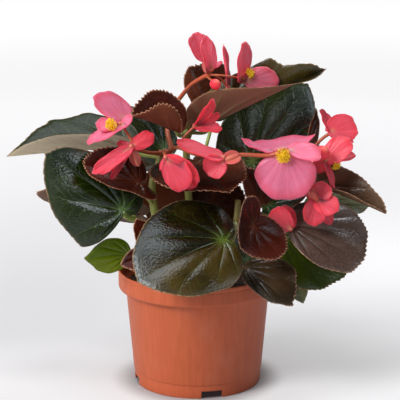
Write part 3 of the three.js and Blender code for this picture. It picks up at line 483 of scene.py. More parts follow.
def sine_ratio(angle):
    """sin(angle) / angle, which is 1 at 0."""
    return np.sinc(np.asarray(angle, float) / np.pi)


class Blade:
    """The middle surface of a leaf or tepal. It is a function of a turn round the blade, -1 to 1
    with 0 at the tip, and a share of the way from the stalk to the margin."""

    def __init__(self, defaults, values, ruffle=None):
        shape = {'cup': (0, 0), 'arc': 0, 'twist': 0, 'roll': 0, 'lobes': (), **defaults, **values}
        self.base = np.array(shape['base'], float)
        along = np.array(shape['tip'], float) - self.base
        self.length = np.linalg.norm(along) / sine_ratio(np.radians(shape['arc']) / 2)
        self.half, self.back, self.belly = shape['half'], shape['back'], shape['belly']
        self.point, self.sinus, self.lobes = shape['point'], shape['sinus'], shape['lobes']
        self.fold, self.cup = np.radians(shape['fold']), np.radians(shape['cup'])
        self.arc, self.twist = np.radians(shape['arc']), np.radians(shape['twist'])
        self.ruffle = ruffle
        forward = unit(along)
        up = np.array(shape.get('face', (0, 0, 1)), float)
        up = unit(up - forward * (up @ forward))
        roll = np.radians(shape['roll'])
        up = up * np.cos(roll) + np.cross(up, forward) * np.sin(roll)
        self.axes = np.array([forward, np.cross(up, forward), up])

    def margin(self, turn):
        """Half ellipses in front of and behind the widest place, drawn out to a point at the tip
        and pulled in to a notch at the stalk. Each lobe swells the margin round one turn."""
        angle = turn * np.pi
        widest = self.belly * self.length
        back = np.where(turn >= 0, self.back[0], self.back[1]) * self.length
        reach = np.where(np.cos(angle) >= 0, self.length - widest, widest + back)
        share = np.abs(turn)
        scale = (1 + self.point * np.exp(-9 * share)) / (1 + self.point)
        scale = scale * (1 - self.sinus * np.clip((share - .72) / .28, 0, 1) ** 2)
        for at, width, size in self.lobes:
            scale = scale * (1 + size * np.exp(-((turn - at) / width) ** 2))
        half = np.where(turn >= 0, self.half[0], self.half[1])
        return (widest + reach * np.cos(angle)) * scale, half * np.sin(angle) * scale

    def bend(self, x, y, lift=0):
        """Lays the flat blade on a circular arc along its midrib, turns each half up by its fold,
        rolls it on by its cup and twists it with the distance from the stalk."""
        side = np.where(y >= 0, 0, 1)
        droop = self.arc * x / self.length
        chord, slope = self.arc / 2 - droop / 2, self.arc / 2 - droop
        along = x * sine_ratio(droop / 2)
        curl = self.cup[side] * np.abs(y) / np.array(self.half)[side]
        rise = self.fold[side] + curl / 2
        width = np.abs(y) * sine_ratio(curl / 2)
        flat = np.sign(y) * (width * np.cos(rise) - lift * np.sin(rise + curl / 2))
        up = width * np.sin(rise) + lift * np.cos(rise + curl / 2)
        twist = self.twist * x / self.length
        sideways = flat * np.cos(twist) - up * np.sin(twist)
        up = flat * np.sin(twist) + up * np.cos(twist)
        local = np.stack([along * np.cos(chord) - up * np.sin(slope), sideways,
                          along * np.sin(chord) + up * np.cos(slope)], -1)
        return self.base + local @ self.axes

    def surface(self, turn, share):
        """The margin scaled by the share and its teeth, then lifted by its waves and bent."""
        x, y = self.margin(turn)
        tooth, lift = self.ruffle(self, turn, share) if self.ruffle else (1, 0)
        return self.bend(x * share * tooth, y * share * tooth, lift)

    def normal(self, turn, share):
        """The cross product of two short steps over the surface."""
        step = 1e-3
        share = np.maximum(share, .02)
        round_ = self.surface(turn + step, share) - self.surface(turn - step, share)
        out = self.surface(turn, share + step) - self.surface(turn, share - step)
        return unit(np.cross(out, round_))


def blade_skin(blade, thickness, sectors, rings, finish=0):
    """Upper face from the stalk to the margin, a rounded edge, and the lower face back again."""
    turn = np.arange(sectors) / sectors * 2 - 1
    share = np.linspace(0, 1, rings + 1)[1:] ** .8
    turns, shares = np.meshgrid(turn, share)
    middle, normal = blade.surface(turns, shares), blade.normal(turns, shares)
    taper = thickness / 2 * np.where(shares > .999, .55, 1)[..., None]
    width = np.hypot(*blade.margin(turn))
    edge = blade.surface(turn, 1 + .35 * thickness / np.maximum(width, thickness))
    top, under = middle + normal * taper, middle - normal * taper
    centre = middle[0].mean(axis=0)
    half = unit(normal[0].mean(axis=0)) * thickness / 2
    side = np.repeat([1, 0, -1], [rings, 1, rings])[:, None] + np.zeros(sectors)
    out = np.concatenate([shares, np.ones((1, sectors)), shares[::-1]])
    reach = out * width
    return Skin(np.concatenate([top, edge[None], under[::-1]]), centre + half, centre - half, finish,
                side=np.append(side, [1, -1]), out=np.append(out, [0, 0]), reach=np.append(reach, [0, 0]))


def leaf_ruffle(seed, rounded, bite, wave, quilting):
    """Teeth along the margin, a slow wave that grows towards it, and swellings between the veins."""
    rng = np.random.default_rng(seed)
    phases = rng.uniform(0, math.tau, 6)
    count = rng.integers(44, 56)

    def ruffle(blade, turn, share):
        angle = turn * np.pi
        near = np.clip((share - .8) / .2, 0, 1) ** 2
        beat = count * angle / 2 + 1.5 * np.sin(angle + phases[0]) + .8 * np.sin(3 * angle + phases[1])
        teeth = np.abs(np.sin(beat)) - .6 if rounded else np.mod(beat / np.pi, 1) - .5
        teeth = teeth * bite * (1 + .5 * np.sin(7 * angle + phases[4]) * np.sin(12 * angle + phases[2]))
        lobes = .006 * np.sin(5 * angle + phases[2]) + .005 * np.sin(9 * angle + phases[3])
        depth = .9 / max(blade.length * .5, 14)
        tooth = 1 + near * (depth * teeth + 1.6 * lobes)
        slow = np.sin(4 * angle + phases[4]) + .7 * np.sin(7 * angle + phases[5])
        swell = np.abs(np.sin(MAIN_VEINS * angle / 2)) ** .7
        size = min(blade.length / 60, 1)
        lift = size * (wave * slow * share ** 3 * .8 + quilting * swell * np.sin(np.pi * share ** .8))
        return tooth, lift
    return ruffle


def tepal_ruffle(seed, wave=.7):
    """A soft wave at the margin and shallow folds that run out from the base."""
    phases = np.random.default_rng(seed).uniform(0, math.tau, 4)

    def ruffle(blade, turn, share):
        angle = turn * np.pi
        lobes = .012 * np.sin(6 * angle + phases[0]) + .008 * np.sin(11 * angle + phases[1])
        tooth = 1 + np.clip((share - .7) / .3, 0, 1) * lobes
        folds = .25 * np.sin(13 * angle + phases[2]) * share * (1.3 - share)
        size = min(blade.length / 30, 1)
        lift = size * (wave * np.sin(5 * angle + phases[3]) * share ** 3 + folds)
        return tooth, lift
    return ruffle


# Stalks and balls

def spline(points, steps=8):
    """Centripetal curve through the points, each span a blend of two parabolas."""
    points = np.asarray(points, float)
    ends = [2 * points[0] - points[1], *points, 2 * points[-1] - points[-2]]
    parts = []
    t = np.linspace(0, 1, steps, endpoint=False)[:, None]
    for a, b, c, d in zip(ends, ends[1:], ends[2:], ends[3:]):
        ab, bc, cd = [np.linalg.norm(q - p) ** .5 for p, q in ((a, b), (b, c), (c, d))]
        leave = bc * ((b - a) / ab - (c - a) / (ab + bc) + (c - b) / bc)
        arrive = bc * ((c - b) / bc - (d - b) / (bc + cd) + (d - c) / cd)
        parts.append((2 * t ** 3 - 3 * t ** 2 + 1) * b + (t ** 3 - 2 * t ** 2 + t) * leave
                     + (3 * t ** 2 - 2 * t ** 3) * c + (t ** 3 - t ** 2) * arrive)
    return np.concatenate([*parts, points[-1:]])


def tube_skin(path, radius, sides=14, finish=0):
    """A round section carried along the path without twisting, closed by low domes."""
    path = np.asarray(path, float)
    radius = np.broadcast_to(radius, len(path)).astype(float)
    ahead = unit(np.gradient(path, axis=0))
    spare = np.array([1., 0, 0]) if abs(ahead[:, 0]).max() < .8 else np.array([0, 0, 1.])
    if abs(ahead @ spare).max() > .98:
        spare = unit(np.array([.5, -.7, .5]))
    side, other = across(ahead[:, None], spare)
    turn = (np.arange(sides) / sides * math.tau)[:, None]
    rings = path[:, None] + (side * np.cos(turn) + other * np.sin(turn)) * radius[:, None, None]
    dome = .4 * radius[:, None] * ahead
    share = np.repeat(np.linspace(0, 1, len(path)), sides)
    return Skin(rings[:, ::-1], path[0] - dome[0], path[-1] + dome[-1], finish, out=np.append(share, [0, 1]))


def ball_skin(centre, axes, finish=0, sides=12, rings=7):
    """An ellipsoid whose three half axes are the rows of axes, the last one from pole to pole."""
    axes = np.asarray(axes, float)
    fall = (np.arange(rings) + 1) / (rings + 1) * np.pi
    turn = np.arange(sides) / sides * math.tau
    fall, turn = np.meshgrid(fall, turn, indexing='ij')
    local = np.stack([np.sin(fall) * np.cos(turn), np.sin(fall) * np.sin(turn), np.cos(fall)], -1)
    centre = np.asarray(centre, float)
    flip = -1 if np.linalg.det(axes) < 0 else 1
    return Skin((centre + local @ axes)[:, ::flip], centre + axes[2], centre - axes[2], finish,
                out=np.append(fall / np.pi, [0, 1]))


# Shader trees

def feed(node, inputs):
    """Links or sets the inputs of a shader node."""
    for key, value in inputs.items():
        if isinstance(value, Level):
            node.id_data.links.new(value.socket, node.inputs[key])
        else:
            node.inputs[key].default_value = value
    return node


def add(tree, kind, inputs=None, **settings):
    """A new shader node with its settings and inputs."""
    made = tree.nodes.new(kind)
    for key, value in settings.items():
        setattr(made, key, value)
    return feed(made, inputs or {})


class Level:
    """An output of a shader node. Arithmetic on it adds the nodes that work the result out."""

    def __init__(self, node, output=0):
        self.tree, self.socket = node.id_data, node.outputs[output]

    def sum_up(self, operation, *values):
        """The result of one operation on numbers and levels."""
        return Level(add(self.tree, 'ShaderNodeMath', dict(enumerate(values)), operation=operation))

    def __add__(self, other):
        return self.sum_up('ADD', self, other)

    def __sub__(self, other):
        return self.sum_up('SUBTRACT', self, other)

    def __rsub__(self, other):
        return self.sum_up('SUBTRACT', other, self)

    def __mul__(self, other):
        if isinstance(other, tuple):
            return Level(add(self.tree, 'ShaderNodeVectorMath', {0: self, 1: other}, operation='MULTIPLY'))
        return self.sum_up('MULTIPLY', self, other)

    def __truediv__(self, other):
        return self.sum_up('DIVIDE', self, other)

    def __abs__(self):
        return self.sum_up('ABSOLUTE', self)

    def fraction(self):
        """What is left above the whole number below."""
        return self.sum_up('FRACT', self)

    def step(self, low, high):
        """A smooth rise from 0 at low to 1 at high."""
        inputs = {'Value': self, 'From Min': low, 'From Max': high}
        return Level(add(self.tree, 'ShaderNodeMapRange', inputs, interpolation_type='SMOOTHSTEP'))

    def between(self, low, high):
        """A level of 0 to 1 moved to the range low to high."""
        return Level(add(self.tree, 'ShaderNodeMapRange', {'Value': self, 'To Min': low, 'To Max': high}))

    def axis(self, number):
        """One coordinate of a place."""
        return Level(add(self.tree, 'ShaderNodeSeparateXYZ', {0: self}), number)

    def distance(self):
        """How far a place is from the origin."""
        return Level(add(self.tree, 'ShaderNodeVectorMath', {0: self}, operation='LENGTH'), 'Value')


def coats(colour, *layers):
    """A colour under coats of others, each laid on by its own level of 0 to 1."""
    for level, coat in layers:
        inputs = {0: level, 6: colour, 7: coat}
        colour = Level(add(level.tree, 'ShaderNodeMix', inputs, data_type='RGBA'), 2)
    return colour


def ramp(level, stops):
    """Grey tones at places along a level, with soft changes between them."""
    made = add(level.tree, 'ShaderNodeValToRGB', {0: level})
    made.color_ramp.interpolation = 'EASE'
    tones = made.color_ramp.elements
    while len(tones) < len(stops):
        tones.new(.5)
    for tone, (place, _) in zip(tones, stops):
        tone.position = place
    for tone, (_, grey) in zip(tones, stops):
        tone.color = (grey, grey, grey, 1)
    return Level(made)


def mark(tree, name):
    """A mark of the skin: side (1 upper, -1 lower), out (share of the way out), reach (out in mm)."""
    return Level(add(tree, 'ShaderNodeAttribute', attribute_type='GEOMETRY', attribute_name=name), 'Fac')


def object_place(tree):
    """The place on the piece, in metres."""
    return Level(add(tree, 'ShaderNodeTexCoord'), 'Object')


def surface_place(tree):
    """The place on the skin: once round its rings, and from pole to pole."""
    return Level(add(tree, 'ShaderNodeUVMap', uv_map='surface'))


def speckle(place, scale=1, detail=3, distortion=0):
    """Noise of 0 to 1 at a scale per metre."""
    inputs = {'Vector': place, 'Scale': scale, 'Detail': detail, 'Distortion': distortion}
    return Level(add(place.tree, 'ShaderNodeTexNoise', inputs))


def cells(place, scale, **settings):
    """Distance from the middle of each of many small cells."""
    made = add(place.tree, 'ShaderNodeTexVoronoi', {'Vector': place, 'Scale': scale}, **settings)
    return Level(made, 'Distance')


def relief(height, strength, depth):
    """The normal of a bumpy surface whose bumps have a depth in mm."""
    inputs = {'Height': height, 'Strength': strength, 'Distance': depth * MM}
    return Level(add(height.tree, 'ShaderNodeBump', inputs))


def paint(red, green, blue):
    """Linear colour of a screen colour given as 0 to 255."""
    screen = np.array([red, green, blue]) / 255
    return shade(np.where(screen <= .04045, screen / 12.92, ((screen + .055) / 1.055) ** 2.4))


def shade(colour, factor=1, extra=0):
    """An opaque colour whose parts are the given ones times a factor, plus extra, and at most 1."""
    return (*np.minimum(np.array(colour[:3]) * factor + extra, 1).tolist(), 1)


def new_material(name):
    """A material and its shader tree."""
    material = bpy.data.materials.new(name)
    material.use_nodes = True
    return material, material.node_tree


def finished(material, inputs):
    """The material with the inputs of its own shader fed."""
    feed(material.node_tree.nodes['Principled BSDF'], inputs)
    return material


def new_group(name, inputs, outputs):
    """An empty shader group, and the levels that are put into it."""
    tree = bpy.data.node_groups.new(name, 'ShaderNodeTree')
    for socket, value in inputs.items():
        made = tree.interface.new_socket(socket, in_out='INPUT', socket_type='NodeSocketFloat')
        made.default_value = value
    for socket in outputs:
        tree.interface.new_socket(socket, in_out='OUTPUT', socket_type='NodeSocketFloat')
    given = add(tree, 'NodeGroupInput')
    return tree, *[Level(given, socket) for socket in inputs]


def vein_group():
    """Main veins run straight out from the stalk at even turns. Side veins leave them slantwise at
    even steps, and noise bends them."""
    tree, count, width, side_veins, slant = new_group(
        'Veins', {'Count': MAIN_VEINS, 'Width': .8, 'Side veins': 6, 'Slant': .5}, ('Main', 'Side'))
    out, reach = mark(tree, 'out'), mark(tree, 'reach')
    wander = speckle(object_place(tree), 70, 2).between(-.5, .5)
    turned = surface_place(tree).axis(0) * count + wander * .3
    beside = abs(turned.fraction() - .5)
    distance = beside * (reach * math.tau / count)
    main = 1 - distance.step(0, width * (1.15 - out))
    slanted = out - beside * slant + wander * .12
    side = 1 - abs((slanted * side_veins).fraction() - .5).step(0, .11)
    add(tree, 'NodeGroupOutput', {'Main': main, 'Side': side * out.step(.08, .3)})
    return tree


def veins(tree, count, width, side_veins, slant):
    """Levels of the main and side veins, with the width of the main ones in mm."""
    inputs = {'Count': count, 'Width': width, 'Side veins': side_veins, 'Slant': slant}
    group = bpy.data.node_groups.get('Veins') or vein_group()
    made = add(tree, 'ShaderNodeGroup', inputs, node_tree=group)
    return Level(made, 'Main'), Level(made, 'Side')


def grain_group():
    """Fleshy cells: small rounded cells, and finer noise over them."""
    tree, scale, noise = new_group('Fleshy grain', {'Cells': 900, 'Noise': 2500}, ('Height',))
    place = object_place(tree)
    height = speckle(place, noise, 2) * .4 + cells(place, scale, feature='SMOOTH_F1')
    add(tree, 'NodeGroupOutput', {'Height': height})
    return tree


def grain(tree, scale, noise):
    """Height of fleshy cells, with the scales of the cells and of the noise per metre."""
    group = bpy.data.node_groups.get('Fleshy grain') or grain_group()
    return Level(add(tree, 'ShaderNodeGroup', {'Cells': scale, 'Noise': noise}, node_tree=group))


# Finishes

def leaf_finish(name, paints, roughness):
    """Glossy upper side with sunken pale veins and a lower half painted lighter as painted light, duller
    underside with raised veins, and a margin that is thin, matt and pale."""
    *colours, gloss = paints
    upper, lighter, under, vein, margin = [paint(*colour) for colour in colours]
    material, tree = new_material(name)
    place, out, reach = object_place(tree), mark(tree, 'out'), mark(tree, 'reach')
    top = mark(tree, 'side').step(-.3, .3)
    main, side = veins(tree, MAIN_VEINS, 1.3, 6, .55)
    patches, flecks, crinkles = speckle(place, 40, 4), speckle(place, 700, 2), speckle(place, 480, 2)
    near = 1 - reach.step(1.5, 15)
    inward = reach / out - reach
    edge, brim = 1 - inward.step(.1, 1.1), 1 - inward.step(0, 12)
    # painted light: one half of the upper side is painted in the lighter tone
    painted_lit_half = surface_place(tree).axis(0).step(.47, .56)
    face = coats(
        upper, ((painted_lit_half * .35 + patches).step(.45, 1), lighter), (flecks.step(.4, .8) * .5, lighter),
        (near * .3, vein), (main * near.between(.32, 1), vein), (side * .1, vein))
    back = coats(shade(under, .75), (patches, under), (main * .55, vein), (side * .25, vein))
    colour = coats(back, (top, face), (edge * flecks.step(.2, .75), margin))
    rough = top.between(.55, roughness - .08) + patches * .16 + brim * .16 + edge * .2
    sunk = (side * .1 + main * .16) * top.between(1.2, -1)
    height = grain(tree, 800, 2400) * .2 + sunk + crinkles
    return finished(material, {
        'Base Color': colour, 'Roughness': rough, 'Specular IOR Level': .12 + .5 * gloss,
        'Specular Tint': (.86, .94, 1, 1), 'Normal': relief(height, .6, .5)})


def tepal_finish(name, colour):
    """Satin petal, lighter inside than outside, where the darker outside is partly its own deeper red
    and partly painted shade, with fine veins, a pale base and a deeper rim.
    """
    material, tree = new_material(name)
    out = mark(tree, 'out')
    main, side = veins(tree, 17, .5, 5, .35)
    patches = speckle(object_place(tree), 120)
    streaks = speckle(surface_place(tree) * (70, 4, 1))
    # partly painted shade: the outside is a darker, deeper red copy of the colour
    outer, inner = shade(colour, (.96, .62, .68)), shade(colour, (1.02, 1.3, 1.3), (0, .012, .012))
    deep, pale = shade(colour, (.85, .4, .5)), shade(colour, (1.03, 1.9, 1.8), .02)
    rim, base = shade(colour, (.95, .55, .6)), shade(colour, (1, 2, 1.3), (0, .1, .05))
    body = coats(
        outer, (mark(tree, 'side').step(-.3, .3), inner), (streaks.step(.35, .7) * .55, pale),
        (main * .5, deep), (side * .2, deep), (patches.between(-.3, .9) * .3, deep),
        (out.step(.72, 1) * .75, rim), (1 - out.step(.02, .34), base))
    height = grain(tree, 1800, 5000) * .2 + streaks * .6 + main * -.4
    return finished(material, {
        'Base Color': body, 'Roughness': patches.between(.34, .54), 'Specular IOR Level': .35,
        'Subsurface Weight': .85, 'Subsurface Scale': .0045, 'Subsurface Radius': (1, .6, .58),
        'Normal': relief(height, .5, .3)})


def stalk_finish(name, colour, tip, roughness=.38):
    """Fleshy stalk whose colour changes along it, with fine lengthwise streaks."""
    material, tree = new_material(f'Stalk {name}')
    streaks = speckle(surface_place(tree) * (9, 60, 1))
    patches = speckle(object_place(tree), 90)
    along = patches * .3 + mark(tree, 'out')
    body = coats(shade(colour), (along.step(.3, 1.1), shade(tip)), (streaks * .45, shade(colour, .5)))
    return finished(material, {
        'Base Color': body, 'Roughness': patches.between(roughness - .08, roughness + .12),
        'Coat Weight': .15, 'Coat Roughness': .25,
        'Normal': relief(streaks * .7 + grain(tree, 1500, 4000), .4, .3)})


def anther_finish():
    """Powdery yellow of two tones."""
    material, tree = new_material('Anther yellow')
    grains = speckle(object_place(tree), 900, 2)
    return finished(material, {
        'Base Color': coats((.82, .42, .004, 1), (grains, (1, .78, .01, 1))), 'Roughness': .6,
        'Normal': relief(grain(tree, 4000, 9000), .5, .2)})


def plastic_finish(colour):
    """Moulded plastic with faint upright flow lines, dusty patches and a fine grain."""
    material, tree = new_material('Terracotta plastic')
    place = object_place(tree)
    flow = speckle(place * (260, 260, 14), detail=4, distortion=1.1)
    broad = speckle(place * (60, 60, 9), detail=2)
    dust, fine = speckle(place, 26, 5), speckle(place, 900)
    face = coats(
        shade(colour), (flow.step(.35, .7), shade(colour, 1.1, .006)),
        (broad.step(.4, .8) * .2, shade(colour, .85)), (dust.step(.52, .8) * .16, (.55, .33, .24, 1)))
    return finished(material, {
        'Base Color': face, 'Roughness': dust.between(.34, .56), 'Specular IOR Level': .35,
        'Normal': relief(flow * .5 + fine * .3, .3, .2)})


def soil_finish(colour):
    """Dark moist peat in patches, with paler crumbs."""
    material, tree = new_material('Moist peat')
    place = object_place(tree)
    crumbs, patches = cells(place, 420), speckle(place, 60, 5)
    body = coats(
        shade(colour, .5), (patches, shade(colour, 2.2)), (crumbs.step(.55, .8), shade(colour, 3.5)))
    return finished(material, {
        'Base Color': body, 'Roughness': patches.between(.95, .6),
        'Normal': relief(patches * 1.5 + crumbs, .9, 1.2)})


def floor_finish(colour):
    """Matt pale floor with painted shade, a dark patch, under the pot. Its emission is painted light
    that stands for a white room: it grows with the distance from the pot, which leaves a painted
    shadow round the pot. Behind the pot it is stronger on the right and weaker on the left, and in
    front of it stronger all along, as painted light and shade. It is halved for every ray but the
    camera's."""
    material, tree = new_material('Pale floor')
    place = object_place(tree)
    x, y, away = place.axis(0), place.axis(1), place.distance()
    face = coats(shade(colour), (speckle(place, 3, 2), shade(colour, .985)))
    # painted shade: a dark patch on the floor under the pot
    face = coats((.05, .035, .03, 1), (away.step(.048, .053), face))
    # painted light: the floor's emission grows away from the pot and is weaker close to it, as painted
    # shadow
    painted_light = ramp(away / 3.8, ((.005, .31), (.031, .36), (.131, .45), (.37, .64), (.72, .87)))
    close = 1 - away.step(.2, .8)
    # painted light and shade: brighter to the right of the pot and darker to the left behind it, brighter in
    # front
    right = x.step(-.2, .25).between(-.34, .34) * close * y.step(0, .12)
    front = (1 - y.step(-.03, .03)) * close * .27
    painted_light = painted_light * (right + front + 1)
    # painted shade: the emission fades to near black under the pot
    painted_light = coats((.02, .015, .015, 1), (away.step(.05, .075), painted_light))
    seen = Level(add(tree, 'ShaderNodeLightPath'), 'Is Camera Ray')
    return finished(material, {
        'Base Color': face, 'Roughness': .9, 'Specular IOR Level': .1, 'Emission Strength': 1,
        'Emission Color': coats(painted_light * (.5, .5, .5), (seen, painted_light))})


# Plant parts

def leaf_blade(name, settings):
    """A leaf's middle surface. Leaves with fine teeth wave only half as far."""
    leaf = LEAVES[name]
    teeth = leaf.get('teeth', 'sharp')
    wave = settings.wave / MM * (.5 if teeth == 'fine' else 1)
    seed = sorted(LEAVES).index(name)
    ruffle = leaf_ruffle(seed, teeth == 'round', TEETH_BITE[teeth], wave, settings.quilting / MM)
    return Blade(LEAF_DEFAULTS, leaf, ruffle)


def leaf_stalk(stem, share, blade):
    """A cubic curve that leaves the stem along it and reaches the blade from below and behind."""
    place = share * (len(stem) - 1)
    low = min(int(place), len(stem) - 2)
    start = stem[low] + (stem[low + 1] - stem[low]) * (place - low)
    ahead = unit(stem[low + 1] - stem[low])
    forward, _, up = blade.axes
    end = blade.base - up + .8 * forward
    reach = np.linalg.norm(end - start)
    leave = start + ahead * .28 * reach + unit(end - start) * .1 * reach
    arrive = end - forward * .25 * reach - up * .32 * reach
    t = np.linspace(0, 1, 22)[:, None]
    return (1 - t) ** 3 * start + 3 * (1 - t) ** 2 * t * leave + 3 * (1 - t) * t ** 2 * arrive + t ** 3 * end


def swollen(path, radius, joints, tip=.85):
    """Radius along a stem: slowly thinner towards the tip, with a soft swelling at each joint."""
    share = np.linspace(0, 1, len(path))
    size = radius * (1.06 - (1.06 - tip) * share)
    for joint in joints:
        size = size * (1 + .22 * np.exp(-((share - joint) / .022) ** 2))
    return size


def joint_scale(at, ahead, away, length=JOINT_SCALE):
    """A small papery blade that clasps the stem at a joint."""
    tip = at + ahead * length * .9 + away * length * .45
    values = dict(base=at, tip=tip, face=away, half=(length * .28,) * 2, belly=.4, cup=(35, 35))
    return blade_skin(Blade(TEPAL_DEFAULTS, values), .4, 24, 4, finish=SCALE)


def stamens(at, radius, axis, seed):
    """Anthers set on a dome by the golden angle, each a small ellipsoid on a thin filament."""
    rng = np.random.default_rng(seed)
    count = int(26 + radius * 6)
    order = (np.arange(count) + .5) / count
    fall = np.arccos(1 - order * 1.25)
    turn = np.arange(count) * math.pi * (3 - math.sqrt(5))
    side, other = across(axis, (.1, .2, 1))
    skins = [ball_skin(at, np.array([side, other, axis]) * radius * .45, sides=8, rings=4)]
    for low, around in zip(fall, turn):
        ray = side * math.sin(low) * math.cos(around) + other * math.sin(low) * math.sin(around)
        ray = unit(ray + axis * math.cos(low) + rng.normal(0, .06, 3))
        head = at + ray * radius * rng.uniform(.78, .98)
        skins.append(tube_skin([at + ray * radius * .3, head], .22, sides=4))
        thick = unit(np.cross(ray, axis + .01))
        long = unit(ray + rng.normal(0, .25, 3))
        axes = np.array([thick * .48, np.cross(long, thick) * .4, long * 1.15])
        skins.append(ball_skin(head, axes, sides=6, rings=3))
    return skins


def seed_case(start, end, radius, turned):
    """A fleshy case with three thin wings, one broader than the others."""
    start, end = np.array(start, float), np.array(end, float)
    along = end - start
    ahead = unit(along)
    side, other = across(ahead, (.2, -.9, .3))
    axes = np.array([side * radius * .5, other * radius * .5, along * .5])
    skins = [ball_skin((start + end) / 2, axes, finish=FLESH, sides=16, rings=9)]
    for number in range(3):
        turn = turned + number * math.tau / 3
        away = side * math.cos(turn) + other * math.sin(turn)
        width = radius * (1.1 if number else 1.5)
        wing = dict(base=start + along * .05, tip=end - along * .05, face=np.cross(ahead, away),
                    half=(width, .2 * width))
        skins.append(blade_skin(Blade(TEPAL_DEFAULTS, wing), .5, 36, 5, finish=FLESH))
    return skins


def bud_skin(at, radius):
    """Two closed tepals: a flattened ball with a groove where their edges meet."""
    axis = unit((.35, -.5, .6))
    side, other = across(axis, (0, -1, .2))
    skin = ball_skin(at, np.array([side, other * .8, axis]) * radius, sides=40, rings=22)
    beside, along = (skin.points - at) @ other / radius, (skin.points - at) @ axis / radius
    groove = np.exp(-(beside / .09) ** 2) * np.clip(along + .9, 0, 1)
    skin.points = at + (skin.points - at) * (1 - .075 * groove)[:, None]
    return skin


def rounded(profile, size=.6):
    """Each corner of the profile gives way to three points on a small arc."""
    profile = np.asarray(profile, float)
    points = [profile[:1]]
    for before, corner, after in zip(profile, profile[1:], profile[2:]):
        reach = min(size, *(np.linalg.norm(p - corner) * .45 for p in (before, after)))
        first, last = corner + unit(before - corner) * reach, corner + unit(after - corner) * reach
        points.append(np.array([first, (first + 2 * corner + last) / 4, last]))
    points.append(profile[-1:])
    return np.concatenate(points)


def pot_skin(settings, columns=240):
    """A wall profile turned round the axis. Below the notch height the columns inside each notch
    rise to it."""
    height, rim, foot = settings.height / MM, settings.rim_radius / MM, settings.foot_radius / MM
    inside, under = rim - RIM_OVERHANG, height - RIM_BAND
    profile = rounded([
        (1, FLOOR_RAISE + WALL), (foot - WALL, FLOOR_RAISE + WALL), (inside - WALL, under),
        (inside - WALL, height - 12), (rim - 2.8, height - 10.5), (rim - 1.9, height - 1.2),
        (rim - 1.5, height), (rim - .3, height), (rim, height - .7), (rim - .15, height - 3),
        (rim - .45, height - 3.4), (rim - .1, height - 4), (rim, height - 13), (rim - .6, under),
        (inside, under), (foot + 1, 11.3), (foot + .4, 10.9), (foot + .3, FLOOR_RAISE), (foot, 0),
        (foot - WALL, 0), (foot - WALL, FLOOR_RAISE), (1, FLOOR_RAISE),
    ])
    half = math.asin(NOTCH_WIDTH / 2 / foot)
    edges = [math.radians(turn) + sign * half + shift
             for turn in NOTCH_TURNS for sign in (-1, 1) for shift in (-.0005, .0005)]
    turn = np.sort(np.concatenate([np.arange(columns) / columns * math.tau, np.mod(edges, math.tau)]))
    off_centre = np.mod(turn[:, None] - np.radians(NOTCH_TURNS) + math.pi, math.tau) - math.pi
    in_notch = np.abs(off_centre).min(axis=1) < half
    radius, level = profile[:, :1], profile[:, 1:]
    wall_foot = (level < NOTCH_HEIGHT) & (radius > foot - 2)
    level = np.where(in_notch & wall_foot, NOTCH_HEIGHT + level * .08, level)
    return Skin(round_upright(radius, turn, level), (0, 0, FLOOR_RAISE + WALL), (0, 0, FLOOR_RAISE))


def soil_skins(settings, seed=5):
    """A filled tapered body whose top is crumbled by waves of many lengths, and loose crumbs."""
    rng = np.random.default_rng(seed)
    top, foot = settings.soil_top / MM, settings.foot_radius / MM
    wall = settings.rim_radius / MM - RIM_OVERHANG - WALL - SOIL_ROOM
    turn = np.arange(180) / 180 * math.tau
    radius = np.linspace(0, 1, 46)[1:, None] * wall
    ground = round_upright(radius, turn, top)
    waves = rng.normal(0, 1, (SOIL_WAVES, 2)) * rng.uniform(.08, .9, (SOIL_WAVES, 1))
    phases = rng.uniform(0, math.tau, SOIL_WAVES)
    sizes = .34 / (.35 + np.linalg.norm(waves, axis=1))
    lumps = (np.sin(ground[..., :2] @ waves.T + phases) * sizes).sum(-1)
    ground[..., 2] += .32 * lumps * np.clip((wall - radius) / 3, 0, 1) - 1.6 * (radius / wall) ** 6
    lower = [round_upright(wall, turn, 76), round_upright(foot - 2, turn, 9.2)]
    skins = [Skin(np.concatenate([ground, lower]), (0, 0, ground[0, :, 2].mean()), (0, 0, 9))]
    for _ in range(CRUMBS):
        far, around = wall * math.sqrt(rng.uniform(0, .95)), rng.uniform(0, math.tau)
        axes, _ = np.linalg.qr(rng.normal(size=(3, 3)))
        axes = axes * rng.uniform(.5, 1.9, 3)[:, None] * (1, 1, .7)
        at = round_upright(far, around, top + rng.uniform(-.4, .5))
        skins.append(ball_skin(at, axes, sides=6, rings=3))
    return skins


# Operators

class BEGONIA_OT_leaves(bpy.types.Operator):
    """Build the fine leaf blades"""
    bl_idname = 'begonia.leaves'
    bl_label = 'Leaves'

    def execute(self, context):
        settings = context.scene.begonia_leaves
        finishes = {look: leaf_finish(f'Leaf {look}', paints, settings.roughness)
                    for look, paints in LEAF_PAINTS.items()}
        for name, leaf in LEAVES.items():
            blade = leaf_blade(name, settings)
            grid = BIG_GRID if blade.length > BIG_LEAF else LEAF_GRID
            skin = blade_skin(blade, settings.thickness / MM, *grid)
            make_piece(f'blade_{name}', f'leaf_{name}', [skin], [finishes[leaf['look']]])
        return {'FINISHED'}


